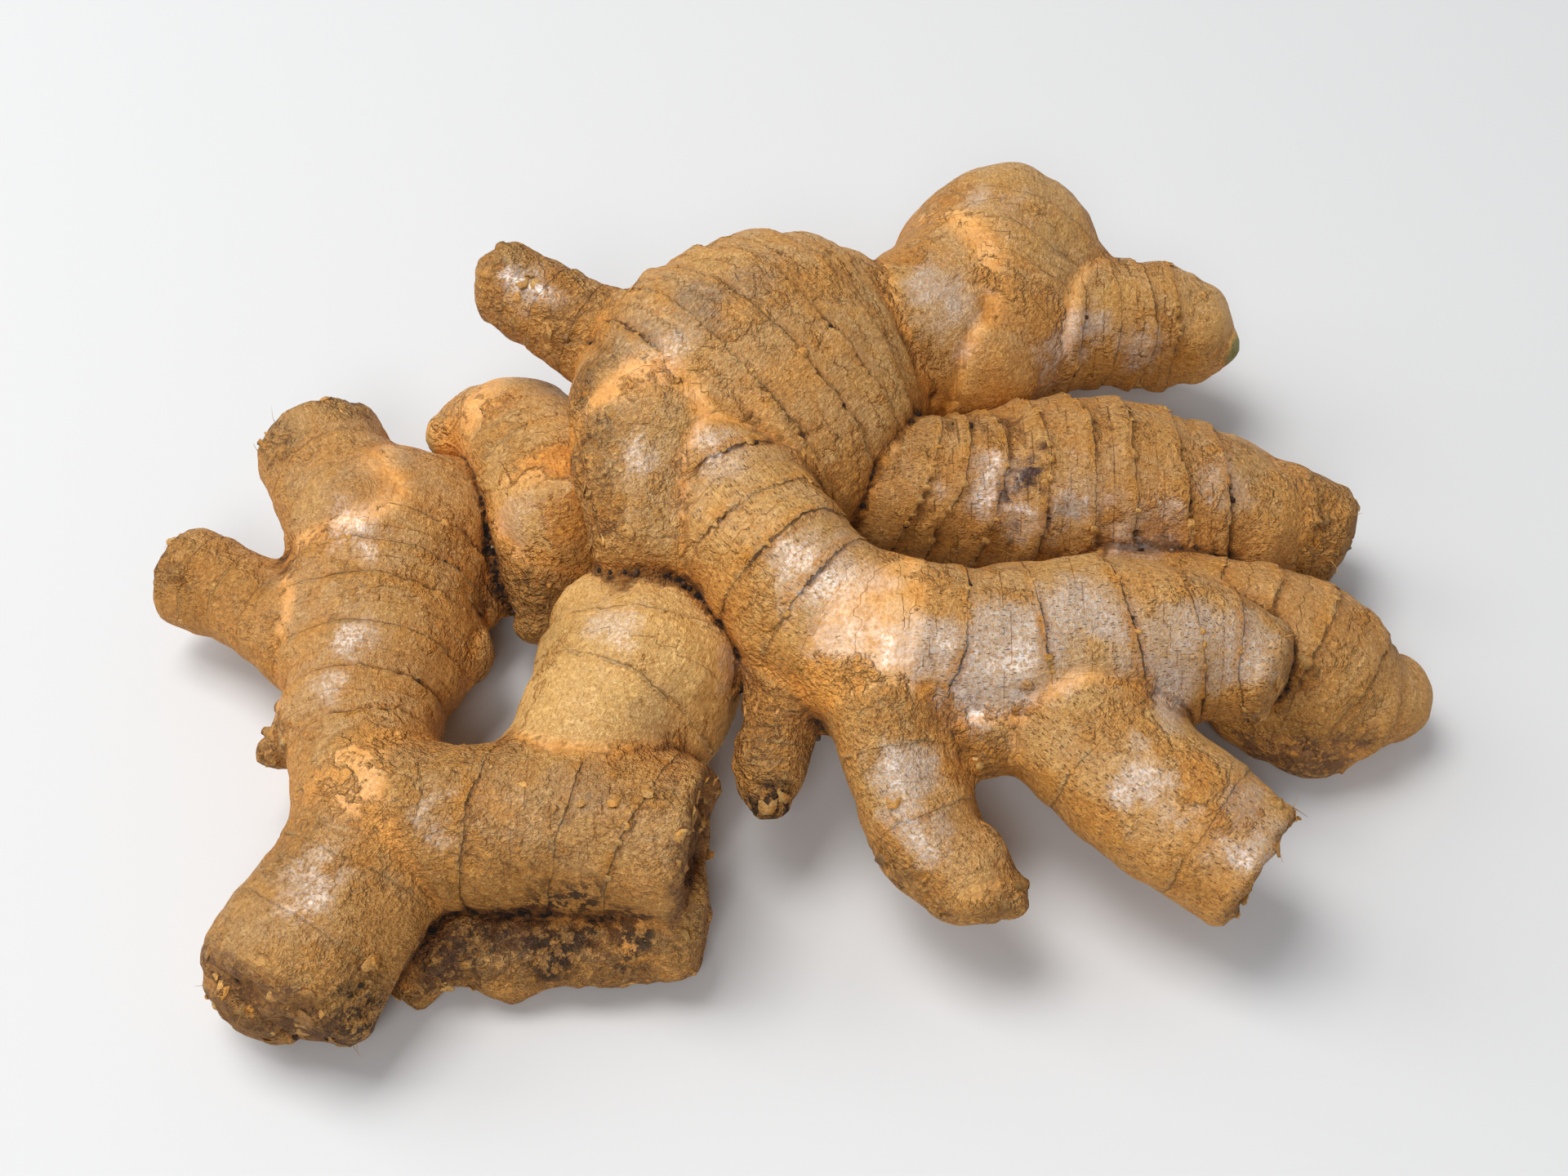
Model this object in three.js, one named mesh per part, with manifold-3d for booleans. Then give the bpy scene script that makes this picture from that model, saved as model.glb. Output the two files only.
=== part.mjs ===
// A whole hand of fresh ginger: one grown rhizome of swollen, ringed fingers, lying on its lower lobes.
// Millimetres. +X along the length, -Y the front, +Z up, the ground is z = 0.
import * as THREE from 'three'
import { mergeVertices } from 'three/addons/utils/BufferGeometryUtils.js'
import Module from 'manifold-3d'

// ---- driving dimensions ----
// middle of the lobes' own coordinates, and how far the lowest lobes press flat on the ground
const CENTRE_X = 1.06
const CENTRE_Y = -8
const SINK = 3.8
const GROUND_SIZE = 400
const GROUND_DEPTH = 60
// leaf-scar rings: height as a part of the radius, its limit and the width of the drop past it
const RING_HEIGHT = 0.07
const RING_HEIGHT_MAX = 1.0
const RING_DROP = 0.8
// unevenness of the sections, and how far a near end bulges, as parts of the radius
const KNOBBLE = 0.022
const REAR_CAP = 0.8
const LOBE_TOP = new THREE.Vector3(0, 0, 1)
// rings lean along this direction
const RISE = new THREE.Vector3(0, 0.77, 0.64)

// Each lobe is a swollen finger round a bent axis.
// at: points on the axis with the radius there; rings: places of the leaf scars along the axis;
// cap: how far the far end bulges, as a part of its radius; wide: width over height of the section;
// lean: how far the rings lean, at the near end and at the far end.
const LOBES = [
  // middle: the old mother knob, its head and the thin finger behind it
  { name: 'mother', wide: 1.46, top: [0.36, -0.36, 0.86], cap: 0.5,
    at: [[-17.5, 3, 39.5, 19.2], [-7.5, 12, 41.5, 22.5], [2, 24, 40.5, 21.5], [14.5, 34.5, 36.5, 15.2]],
    rings: [4, 10.5, 18, 26, 35, 43] },
  { name: 'head', cap: 0.9,
    at: [[-16, 15, 44, 13.5], [-20.5, 6, 45, 12.8], [-22.5, -4.5, 43, 12.2], [-21.5, -16, 40, 10.6]],
    rings: [8, 19] },
  { name: 'thin_finger', cap: 0.7,
    at: [[-27, 22.5, 44.5, 9], [-39, 30, 47, 8.4], [-48.5, 36, 48.5, 8.1]],
    rings: [8.5, 16.5, 22.5] },
  // neck and the long arm to the right with its two front fingers
  { name: 'neck', cap: 0.8,
    at: [[-11, -5.5, 40.5, 13], [-4, -18, 41.5, 13.1], [5, -29, 39.5, 13], [16, -36, 37, 12.8]],
    rings: [5.5, 14.5, 21.5, 29.5, 37] },
  { name: 'arm', cap: 0.7, lean: [0.35, -0.45],
    at: [[10.5, -34, 38, 12.6], [26, -36, 35, 14], [45, -34, 33.5, 14.3], [64, -32, 32.5, 13], [76, -36, 31.5, 9.3]],
    rings: [6, 16, 29, 44, 56, 65] },
  { name: 'front_finger', cap: 0.8,
    at: [[16.5, -39, 33.5, 11.5], [18.5, -54, 29, 9.6], [22, -64, 25, 9], [27.5, -69.5, 22.5, 8]],
    rings: [15, 25.5] },
  { name: 'front_nub', at: [[29, -72.5, 22.5, 5.2], [34.5, -73.5, 22, 3]] },
  { name: 'finger_web', at: [[29, -38.5, 32, 11.5], [31, -46.5, 29.5, 8]] },
  { name: 'blunt_finger', cap: 0.35,
    at: [[39, -38.5, 31.5, 11.5], [53, -52.5, 27, 12.2], [63, -60.5, 24.5, 12.1], [71, -66, 22.5, 11.4]],
    rings: [17, 37] },
  { name: 'root_stub', cap: 0.8,
    at: [[0.5, -32, 32.5, 7.2], [-0.5, -42, 28, 6.3], [-1.5, -50, 24.5, 5]],
    rings: [5.5, 12.5, 17.5] },
  { name: 'root_knob', at: [[-2.5, -48, 23, 4], [-2.5, -54, 21, 3.4]] },
  // right: the fat ringed body behind the arm and the low lobe that lies on the table
  { name: 'right_body', cap: 0.8, lean: [0.4, -0.45],
    at: [[17, 6, 28, 12.6], [31.5, 7, 25.5, 14.1], [52.5, 10, 21.5, 18], [71.5, 8.5, 20, 16.3], [83.5, 4.5, 19, 12.2]],
    rings: [5, 10.5, 17, 25, 34.5, 43.5, 54, 62.5] },
  { name: 'right_knob', cap: 0.55, lean: [-0.4, -0.2],
    at: [[79, 8.5, 19.5, 11], [90.5, 7, 18, 10.3], [97, 5, 17, 9.3]],
    rings: [7, 15] },
  { name: 'low_lobe', cap: 0.8,
    at: [[56, -14, 18, 11], [72.5, -20, 19, 12.8], [86, -24.5, 17.5, 15.2], [94.5, -28.5, 14.5, 12.3], [104, -28, 12, 7.4]],
    rings: [17, 25, 33, 42, 48.5] },
  { name: 'low_bump', at: [[83.5, -28.5, 14.5, 11], [89, -34.5, 11, 8.2]] },
  { name: 'bud_neck', at: [[14, 33, 35, 14], [26, 42, 33, 16], [35, 50, 31, 17]] },
  { name: 'bud_ball', cap: 0.92,
    at: [[34.5, 34, 30.5, 12], [37.5, 47, 30.5, 17.6], [41, 60.5, 30.5, 20.3]],
    rings: [6.5, 12.5, 18.5, 26] },
  { name: 'bud_finger', cap: 0.7, lean: [0.2, -0.2],
    at: [[39.5, 46.5, 29, 13.5], [58.5, 49.5, 27, 12], [69.5, 51, 25, 11.8], [77.5, 49.5, 24.5, 9.4]],
    rings: [13.5, 20, 26.5, 33] },
  { name: 'bud_tip', at: [[76.5, 49, 24.5, 5.6], [83, 47, 23.5, 3.1]] },
  // back left: a knob between the left body and the head
  { name: 'back_knob',
    at: [[-37, -1, 27, 11.3], [-42, 12, 26, 12.3], [-48, 22, 25.5, 9.8]],
    rings: [7, 14.5, 22] },
  { name: 'back_finger',
    at: [[-45, 18, 25.5, 9.3], [-52.5, 25, 24.5, 8], [-59, 26, 23, 5]],
    rings: [7, 13] },
  { name: 'back_bud', at: [[-57, 26, 23.5, 4.8], [-62, 24, 22.5, 2.6]] },
  { name: 'back_taper', cap: 1.1,
    at: [[-39, 4.5, 25, 12.2], [-42, -6, 20, 8.8], [-43, -12, 15, 4.6]] },
  // front left: the smooth bulb, the thick lying body and its rough underside
  { name: 'bulb', cap: 0.8,
    at: [[-33, -55, 23, 13.5], [-28.5, -44, 25, 15.5], [-24, -34.5, 26.5, 17.2], [-24, -25.5, 28, 14.4]],
    rings: [16, 27] },
  { name: 'lying_body', cap: 0.35, lean: [0, 0.3],
    at: [[-64.5, -60, 22.5, 12.2], [-46, -62.5, 25, 12.8], [-28, -63.5, 25, 13], [-18, -65.5, 25, 12.9]],
    rings: [18, 31, 42] },
  { name: 'front_lobe', cap: 0.55,
    at: [[-62, -61, 23.5, 11.8], [-67.5, -72, 20.5, 13.2], [-75, -84.5, 16.5, 14.4]],
    rings: [10, 21] },
  { name: 'front_heel', cap: 0.6, at: [[-75.5, -78.5, 15.5, 11], [-81.8, -86.8, 13, 8]] },
  { name: 'under_ledge', cap: 0.4,
    at: [[-58, -76.5, 10.5, 5], [-43.5, -75.5, 11, 6.3], [-27, -74.5, 11, 7.2], [-15, -73.5, 11.5, 6.5]] },
  { name: 'under_end', cap: 0.4, at: [[-21.5, -72, 15.5, 7.2], [-16, -72.5, 14, 8.2]] },
  { name: 'under_fill', cap: 0.4, at: [[-57, -67, 12.5, 7.3], [-33.5, -67.5, 13.5, 7.8], [-15, -67.5, 14.5, 8]] },
  { name: 'under_bud', at: [[-44, -75.5, 8, 4.9], [-43, -79, 6.8, 4.1]] },
  { name: 'under_nub', at: [[-59.5, -78, 7.5, 3.9], [-57.5, -81.5, 6.4, 2.4]] },
  // left: the ringed body running back, two blunt stubs and small knobs
  { name: 'left_body',
    at: [[-66, -56.5, 23.5, 11], [-69.5, -37.5, 20, 13.2], [-69, -19.5, 19, 16.4], [-67.5, 0.5, 20.5, 16]],
    rings: [8.5, 19, 28.5, 38.5, 46, 53.5] },
  { name: 'left_flap', at: [[-80, -41, 20.5, 5], [-83.5, -43.5, 19, 3]] },
  { name: 'rear_stub', cap: 0.35,
    at: [[-72, -2.5, 23.5, 13.7], [-78.5, 9.5, 23.5, 11.8], [-83, 17.5, 23, 12.2]],
    rings: [7.5, 16.5] },
  { name: 'side_stub', cap: 0.45,
    at: [[-82, -20.5, 20.5, 8.9], [-94, -11, 19, 8], [-102.5, -6, 18.5, 8.5]],
    rings: [6.5, 15.5, 22.5] },
  { name: 'left_bulge', at: [[-68.5, 4.5, 20, 12], [-61, 9.5, 18, 9.7]] },
  { name: 'left_knob', at: [[-57, -8, 18, 6.3], [-53, -9.5, 15.5, 4.9]] },
  { name: 'left_bud', cap: 1.1, at: [[-62, -26.5, 20, 7.2], [-53.5, -23, 18, 3.9]] },
]

// ---- growth rings ----

// Every internode swells slowly towards its leaf scar and drops off sharply just past it.
function ringHeight(s, rings, radius) {
  const height = Math.min(RING_HEIGHT_MAX, RING_HEIGHT * radius)
  let start = -6
  for (const ring of rings) {
    if (s <= ring) {
      const part = (s - start) / (ring - start)
      return height * Math.pow(Math.max(0, part), 1.6)
    }
    if (s < ring + RING_DROP) return height * (1 - (s - ring) / RING_DROP)
    start = ring + RING_DROP
  }
  return 0
}

// Cross-section places along an axis: on the scar, just past it and inside the internode.
function stations(length, rings) {
  const marks = [0]
  for (const ring of rings) {
    if (ring > length - 1) continue
    marks.push(ring, ring + RING_DROP)
  }
  marks.push(length)
  const places = []
  for (let i = 0; i < marks.length - 1; i += 1) {
    const gap = marks[i + 1] - marks[i]
    if (gap < 0.05) continue
    const steps = Math.max(1, Math.round(gap / 7.5))
    for (let k = 0; k < steps; k += 1) places.push(marks[i] + (gap * k) / steps)
  }
  places.push(length)
  return places
}

// ---- one finger as a closed loft ----
function lobeSolid(wasm, lobe, index) {
  const path = new THREE.CatmullRomCurve3(lobe.at.map((p) => new THREE.Vector3(p[0], p[1], p[2])), false, 'catmullrom', 0.5)
  const girth = new THREE.CatmullRomCurve3(lobe.at.map((p) => new THREE.Vector3(p[3], 0, 0)), false, 'catmullrom', 0.5)
  const rings = lobe.rings ?? []
  const wide = Math.sqrt(lobe.wide ?? 1)
  const cap = lobe.cap ?? 1
  const lean = lobe.lean ?? [0, 0]
  const top = lobe.top ? new THREE.Vector3(...lobe.top) : LOBE_TOP
  const length = path.getLength()
  const thick = Math.max(...lobe.at.map((p) => p[3]))
  const sides = thick > 16.2 ? 18 : thick > 12.5 ? 16 : thick > 8 ? 12 : 8

  const sections = []
  for (const a of [48]) {
    const q = THREE.MathUtils.degToRad(a)
    sections.push({ s: 0, shrink: Math.cos(q), out: -REAR_CAP * lobe.at[0][3] * Math.sin(q) })
  }
  for (const s of stations(length, rings)) sections.push({ s, shrink: 1, out: 0 })
  const tipRadius = lobe.at[lobe.at.length - 1][3]
  for (const a of [30, 62]) {
    const q = THREE.MathUtils.degToRad(a)
    sections.push({ s: length, shrink: Math.cos(q), out: cap * tipRadius * Math.sin(q) })
  }

  const verts = []
  const push = (p) => verts.push(p.x, p.y, p.z)
  const place = (s) => {
    const t = s <= 0 ? 0 : s >= length ? 1 : path.getUtoTmapping(0, s)
    const centre = path.getPoint(t)
    const along = path.getTangent(t)
    const side = new THREE.Vector3().crossVectors(along, top).normalize()
    const upper = new THREE.Vector3().crossVectors(side, along)
    return { centre, along, side, upper, radius: girth.getPoint(t).x }
  }

  const first = place(0)
  push(first.centre.clone().addScaledVector(first.along, -REAR_CAP * lobe.at[0][3]))
  for (const section of sections) {
    const f = place(section.s)
    const swell = ringHeight(section.s, rings, f.radius)
    const tilt = THREE.MathUtils.lerp(lean[0], lean[1], section.s / length)
    for (let k = 0; k < sides; k += 1) {
      const a = (k / sides) * Math.PI * 2
      const knobble = 1 + KNOBBLE * (Math.sin(3 * a + index) + 0.7 * Math.sin(2 * a + 0.19 * section.s + 2 * index))
      const radius = (f.radius * knobble + swell) * section.shrink
      const offset = new THREE.Vector3()
        .addScaledVector(f.side, radius * wide * Math.cos(a))
        .addScaledVector(f.upper, (radius / wide) * Math.sin(a))
      const slide = section.out + tilt * offset.dot(RISE)
      push(f.centre.clone().add(offset).addScaledVector(f.along, slide))
    }
  }
  const last = place(length)
  push(last.centre.clone().addScaledVector(last.along, cap * tipRadius))

  const tris = []
  const rows = sections.length
  const apex = 1 + rows * sides
  for (let k = 0; k < sides; k += 1) {
    const n = (k + 1) % sides
    tris.push(0, 1 + k, 1 + n)
    for (let row = 0; row < rows - 1; row += 1) {
      const p = 1 + row * sides
      tris.push(p + k, p + sides + k, p + sides + n)
      tris.push(p + k, p + sides + n, p + n)
    }
    tris.push(1 + (rows - 1) * sides + n, 1 + (rows - 1) * sides + k, apex)
  }
  const mesh = new wasm.Mesh({
    numProp: 3,
    vertProperties: new Float32Array(verts),
    triVerts: new Uint32Array(tris),
  })
  mesh.merge()
  return new wasm.Manifold(mesh)
}

// ---- grow the hand together and flatten what lies on the ground ----
const wasm = await Module()
wasm.setup()

let body = null
LOBES.forEach((lobe, index) => {
  const solid = lobeSolid(wasm, lobe, index)
  body = body ? body.add(solid) : solid
})
const slab = new THREE.BoxGeometry(GROUND_SIZE, GROUND_SIZE, GROUND_DEPTH)
slab.translate(0, 0, SINK - GROUND_DEPTH / 2)
slab.deleteAttribute('normal')
slab.deleteAttribute('uv')
const block = mergeVertices(slab)
const ground = new wasm.Manifold(new wasm.Mesh({
  numProp: 3,
  vertProperties: block.attributes.position.array,
  triVerts: new Uint32Array(block.index.array),
}))
const mesh = body.subtract(ground).getMesh()

const geometry = new THREE.BufferGeometry()
geometry.setAttribute('position', new THREE.BufferAttribute(new Float32Array(mesh.vertProperties), 3))
geometry.setIndex(new THREE.BufferAttribute(new Uint32Array(mesh.triVerts), 1))
geometry.translate(-CENTRE_X, -CENTRE_Y, -SINK)
geometry.computeVertexNormals()

const skin = new THREE.MeshStandardMaterial({ name: 'skin', color: 0xb3895a, roughness: 0.6, metalness: 0 })
const rhizome = new THREE.Mesh(geometry, skin)
rhizome.name = 'rhizome'

const group = new THREE.Group()
group.add(rhizome)

export default group
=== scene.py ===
"""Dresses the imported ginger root: the ringed skin, its papery scales, root remains and soil, on a pale table."""
import math

import bpy
import numpy as np
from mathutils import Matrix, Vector


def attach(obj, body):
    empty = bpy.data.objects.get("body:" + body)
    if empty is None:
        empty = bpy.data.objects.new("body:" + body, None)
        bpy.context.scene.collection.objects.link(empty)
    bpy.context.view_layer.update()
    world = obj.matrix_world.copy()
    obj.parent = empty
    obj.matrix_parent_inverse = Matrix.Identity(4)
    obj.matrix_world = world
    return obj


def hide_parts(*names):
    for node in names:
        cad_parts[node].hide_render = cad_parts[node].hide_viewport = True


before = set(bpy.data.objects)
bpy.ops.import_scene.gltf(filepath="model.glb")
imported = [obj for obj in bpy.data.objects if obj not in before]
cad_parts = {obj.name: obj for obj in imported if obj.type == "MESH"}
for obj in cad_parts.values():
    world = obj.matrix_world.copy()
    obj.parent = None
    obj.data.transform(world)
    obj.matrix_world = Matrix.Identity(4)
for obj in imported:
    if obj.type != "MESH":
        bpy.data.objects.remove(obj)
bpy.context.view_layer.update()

MM = 0.001
RNG = np.random.default_rng(41)

# ---- the hand's own measures, in millimetres, before it is set on the ground ----
CENTRE = np.array([1.06, -8.0, 3.8])
KNOBBLE = 0.022
SKIN_GRID = 1.06
RING_HEIGHT = 0.07
RING_HEIGHT_MAX = 1.0
RISE = np.array([0.0, 0.77, 0.64])

# A finger: group, points on its axis with the radius there, leaf-scar rings along it, and how it ends.
# Fingers of one group melt into each other; groups only press together.
FINGERS = [
    dict(name="mother", group=0, wide=1.46, top=(0.36, -0.36, 0.86), cap=0.5, dashes=0.15, step=1.0, crack=0.5,
         at=[(-17.5, 3, 39.5, 19.2), (-7.5, 12, 41.5, 22.5), (2, 24, 40.5, 21.5), (14.5, 34.5, 36.5, 15.2)],
         rings=[4, 10.5, 18, 26, 35, 43]),
    dict(name="head", group=0, cap=0.9, bark=0.25, step=0.25, crack=0.15, crust=0.6,
         at=[(-16, 15, 44, 13.5), (-20.5, 6, 45, 12.8), (-22.5, -4.5, 43, 12.2), (-21.5, -16, 40, 10.6)],
         rings=[8, 19]),
    dict(name="thin_finger", group=0, cap=0.7, bark=0.4, step=0.5, crack=0.5, crust=0.6,
         at=[(-27, 22.5, 44.5, 9), (-39, 30, 47, 8.4), (-48.5, 36, 48.5, 8.1)], rings=[8.5, 16.5, 22.5]),
    dict(name="neck", group=0, cap=0.8, fringe=0.3, dashes=0.8, step=0.7, crack=0.8,
         at=[(-11, -5.5, 40.5, 13), (-4, -18, 41.5, 13.1), (5, -29, 39.5, 13), (16, -36, 37, 12.8)],
         rings=[5.5, 14.5, 21.5, 29.5, 37]),
    dict(name="arm", group=0, cap=0.7, lean=(0.35, -0.45), dashes=1.0, scar=0.6, step=0.5, crack=1.0, fringe=0.4,
         at=[(10.5, -34, 38, 12.6), (26, -36, 35, 14), (45, -34, 33.5, 14.3), (64, -32, 32.5, 13),
             (76, -36, 31.5, 9.3)],
         rings=[6, 16, 29, 44, 56, 65]),
    dict(name="front_finger", group=0, cap=0.8, dashes=0.7, bark=0.15, step=0.3, crack=0.3,
         at=[(16.5, -39, 33.5, 11.5), (18.5, -54, 29, 9.6), (22, -64, 25, 9), (27.5, -69.5, 22.5, 8)],
         rings=[15, 25.5]),
    dict(name="front_nub", group=0, bark=0.8, at=[(29, -72.5, 22.5, 5.2), (34.5, -73.5, 22, 3)]),
    dict(name="finger_web", group=0, bark=0.5, at=[(29, -38.5, 32, 11.5), (31, -46.5, 29.5, 8)]),
    dict(name="blunt_finger", group=0, cap=0.35, blunt=True, dashes=1.0, scar=0.8, step=0.3, crack=0.35,
         at=[(39, -38.5, 31.5, 11.5), (53, -52.5, 27, 12.2), (63, -60.5, 24.5, 12.1), (71, -66, 22.5, 11.4)],
         rings=[17, 37]),
    dict(name="root_stub", worn=0.3, group=0, cap=0.8, bark=0.6, step=0.6, crust=0.8,
         at=[(0.5, -32, 32.5, 7.2), (-0.5, -42, 28, 6.3), (-1.5, -50, 24.5, 5)], rings=[5.5, 12.5, 17.5]),
    dict(name="root_knob", worn=0.6, group=0, bark=1.0, at=[(-2.5, -48, 23, 4), (-2.5, -54, 21, 3.4)]),
    dict(name="right_body", worn=0.3, fringe=0.35, group=1, cap=0.8, lean=(0.4, -0.45), dashes=0.7, step=1.1, crack=0.5,
         at=[(17, 6, 28, 12.6), (31.5, 7, 25.5, 14.1), (52.5, 10, 21.5, 18), (71.5, 8.5, 20, 16.3),
             (83.5, 4.5, 19, 12.2)],
         rings=[5, 10.5, 17, 25, 34.5, 43.5, 54, 62.5]),
    dict(name="right_knob", worn=0.35, group=1, cap=0.55, lean=(-0.4, -0.2), bark=0.3, scar=0.6, crust=0.8,
         at=[(79, 8.5, 19.5, 11), (90.5, 7, 18, 10.3), (97, 5, 17, 9.3)], rings=[7, 15]),
    dict(name="low_lobe", worn=0.45, group=1, cap=0.8, dashes=0.4, step=0.7, crack=0.4, crust=0.25,
         at=[(56, -14, 18, 11), (72.5, -20, 19, 12.8), (86, -24.5, 17.5, 15.2), (94.5, -28.5, 14.5, 12.3),
             (104, -28, 12, 7.4)],
         rings=[17, 25, 33, 42, 48.5]),
    dict(name="low_bump", worn=0.5, group=1, at=[(83.5, -28.5, 14.5, 11), (89, -34.5, 11, 8.2)]),
    dict(name="bud_neck", group=2, at=[(14, 33, 35, 14), (26, 42, 33, 16), (35, 50, 31, 17)]),
    dict(name="bud_ball", group=2, cap=0.92, step=0.6, crack=0.3, crust=0.45,
         at=[(34.5, 34, 30.5, 12), (37.5, 47, 30.5, 17.6), (41, 60.5, 30.5, 20.3)], rings=[6.5, 12.5, 18.5, 26]),
    dict(name="bud_finger", group=2, cap=0.7, lean=(0.2, -0.2), step=1.0, crack=0.6, crust=0.3,
         at=[(39.5, 46.5, 29, 13.5), (58.5, 49.5, 27, 12), (69.5, 51, 25, 11.8), (77.5, 49.5, 24.5, 9.4)],
         rings=[13.5, 20, 26.5, 33]),
    dict(name="bud_tip", group=2, bud=1.0, at=[(76.5, 49, 24.5, 5.6), (83, 47, 23.5, 3.1)]),
    dict(name="back_knob", smooth=0.4, group=3, dashes=0.3, step=0.4, crack=0.3, crust=0.6,
         at=[(-37, -1, 27, 11.3), (-42, 12, 26, 12.3), (-48, 22, 25.5, 9.8)],
         rings=[7, 14.5, 22]),
    dict(name="back_finger", group=3, step=0.5, crack=0.4, crust=0.6,
         at=[(-45, 18, 25.5, 9.3), (-52.5, 25, 24.5, 8), (-59, 26, 23, 5)],
         rings=[7, 13]),
    dict(name="back_bud", group=3, bud=1.0, at=[(-57, 26, 23.5, 4.8), (-62, 24, 22.5, 2.6)]),
    dict(name="back_taper", worn=0.1, group=3, cap=1.1, bark=0.4,
         at=[(-39, 4.5, 25, 12.2), (-42, -6, 20, 8.8), (-43, -12, 15, 4.6)]),
    dict(name="bulb", group=5, cap=0.8, smooth=1.0, step=0.4, crack=0.25, crust=0.3,
         at=[(-33, -55, 23, 13.5), (-28.5, -44, 25, 15.5), (-24, -34.5, 26.5, 17.2), (-24, -25.5, 28, 14.4)],
         rings=[16, 27]),
    dict(name="lying_body", worn=0.15, group=5, cap=0.35, blunt=True, lean=(0.0, 0.3), bark=0.25, scar=1.0,
         step=0.45, crack=0.7, crust=0.5, at=[(-64.5, -60, 22.5, 12.2), (-46, -62.5, 25, 12.8), (-28, -63.5, 25, 13),
                                            (-18, -65.5, 25, 12.9)],
         rings=[18, 31, 42]),
    dict(name="front_lobe", worn=0.25, group=5, cap=0.55, bark=0.15, scar=1.0, step=0.2, crack=0.2, crust=0.5,
         at=[(-62, -61, 23.5, 11.8), (-67.5, -72, 20.5, 13.2), (-75, -84.5, 16.5, 14.4)],
         rings=[10, 21]),
    dict(name="front_heel", worn=0.5, group=5, cap=0.6, scar=0.8, bark=0.2,
         at=[(-75.5, -78.5, 15.5, 11), (-81.8, -86.8, 13, 8)]),
    dict(name="under_ledge", worn=0.6, group=6, cap=0.4, bark=1.0,
         at=[(-58, -76.5, 10.5, 5), (-43.5, -75.5, 11, 6.3), (-27, -74.5, 11, 7.2), (-15, -73.5, 11.5, 6.5)]),
    dict(name="under_end", worn=0.45, group=6, cap=0.4, bark=1.0, at=[(-21.5, -72, 15.5, 7.2), (-16, -72.5, 14, 8.2)]),
    dict(name="under_fill", worn=0.7, group=6, cap=0.4, bark=1.0,
         at=[(-57, -67, 12.5, 7.3), (-33.5, -67.5, 13.5, 7.8), (-15, -67.5, 14.5, 8)]),
    dict(name="under_bud", worn=0.6, group=6, bark=0.6, at=[(-44, -75.5, 8, 4.9), (-43, -79, 6.8, 4.1)]),
    dict(name="under_nub", worn=0.6, group=6, bark=0.8, at=[(-59.5, -78, 7.5, 3.9), (-57.5, -81.5, 6.4, 2.4)]),
    dict(name="left_body", worn=0.1, group=5, dashes=0.2, step=0.7, crack=0.5, crust=0.6,
         at=[(-66, -56.5, 23.5, 11), (-69.5, -37.5, 20, 13.2), (-69, -19.5, 19, 16.4), (-67.5, 0.5, 20.5, 16)],
         rings=[8.5, 19, 28.5, 38.5, 46, 53.5]),
    dict(name="left_flap", group=5, bark=1.0, at=[(-80, -41, 20.5, 5), (-83.5, -43.5, 19, 3)]),
    dict(name="rear_stub", worn=0.2, group=5, cap=0.35, blunt=True, scar=0.7, dashes=0.3, step=0.4, crack=0.3,
         crust=0.5, at=[(-72, -2.5, 23.5, 13.7), (-78.5, 9.5, 23.5, 11.8), (-83, 17.5, 23, 12.2)], rings=[7.5, 16.5]),
    dict(name="side_stub", worn=0.4, group=5, cap=0.45, blunt=True, scar=0.8, dashes=0.3, step=0.5, crack=0.4,
         crust=0.6, at=[(-82, -20.5, 20.5, 8.9), (-94, -11, 19, 8), (-102.5, -6, 18.5, 8.5)], rings=[6.5, 15.5, 22.5]),
    dict(name="left_bulge", worn=0.2, group=5, at=[(-68.5, 4.5, 20, 12), (-61, 9.5, 18, 9.7)]),
    dict(name="left_knob", worn=0.3, group=5, bark=0.5, at=[(-57, -8, 18, 6.3), (-53, -9.5, 15.5, 4.9)]),
    dict(name="left_bud", worn=0.3, group=5, cap=1.1, bark=0.4, at=[(-62, -26.5, 20, 7.2), (-53.5, -23, 18, 3.9)]),
]
PLAIN = dict(step=1.0, crack=0.5, crust=0.45, fringe=0.1)

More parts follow.
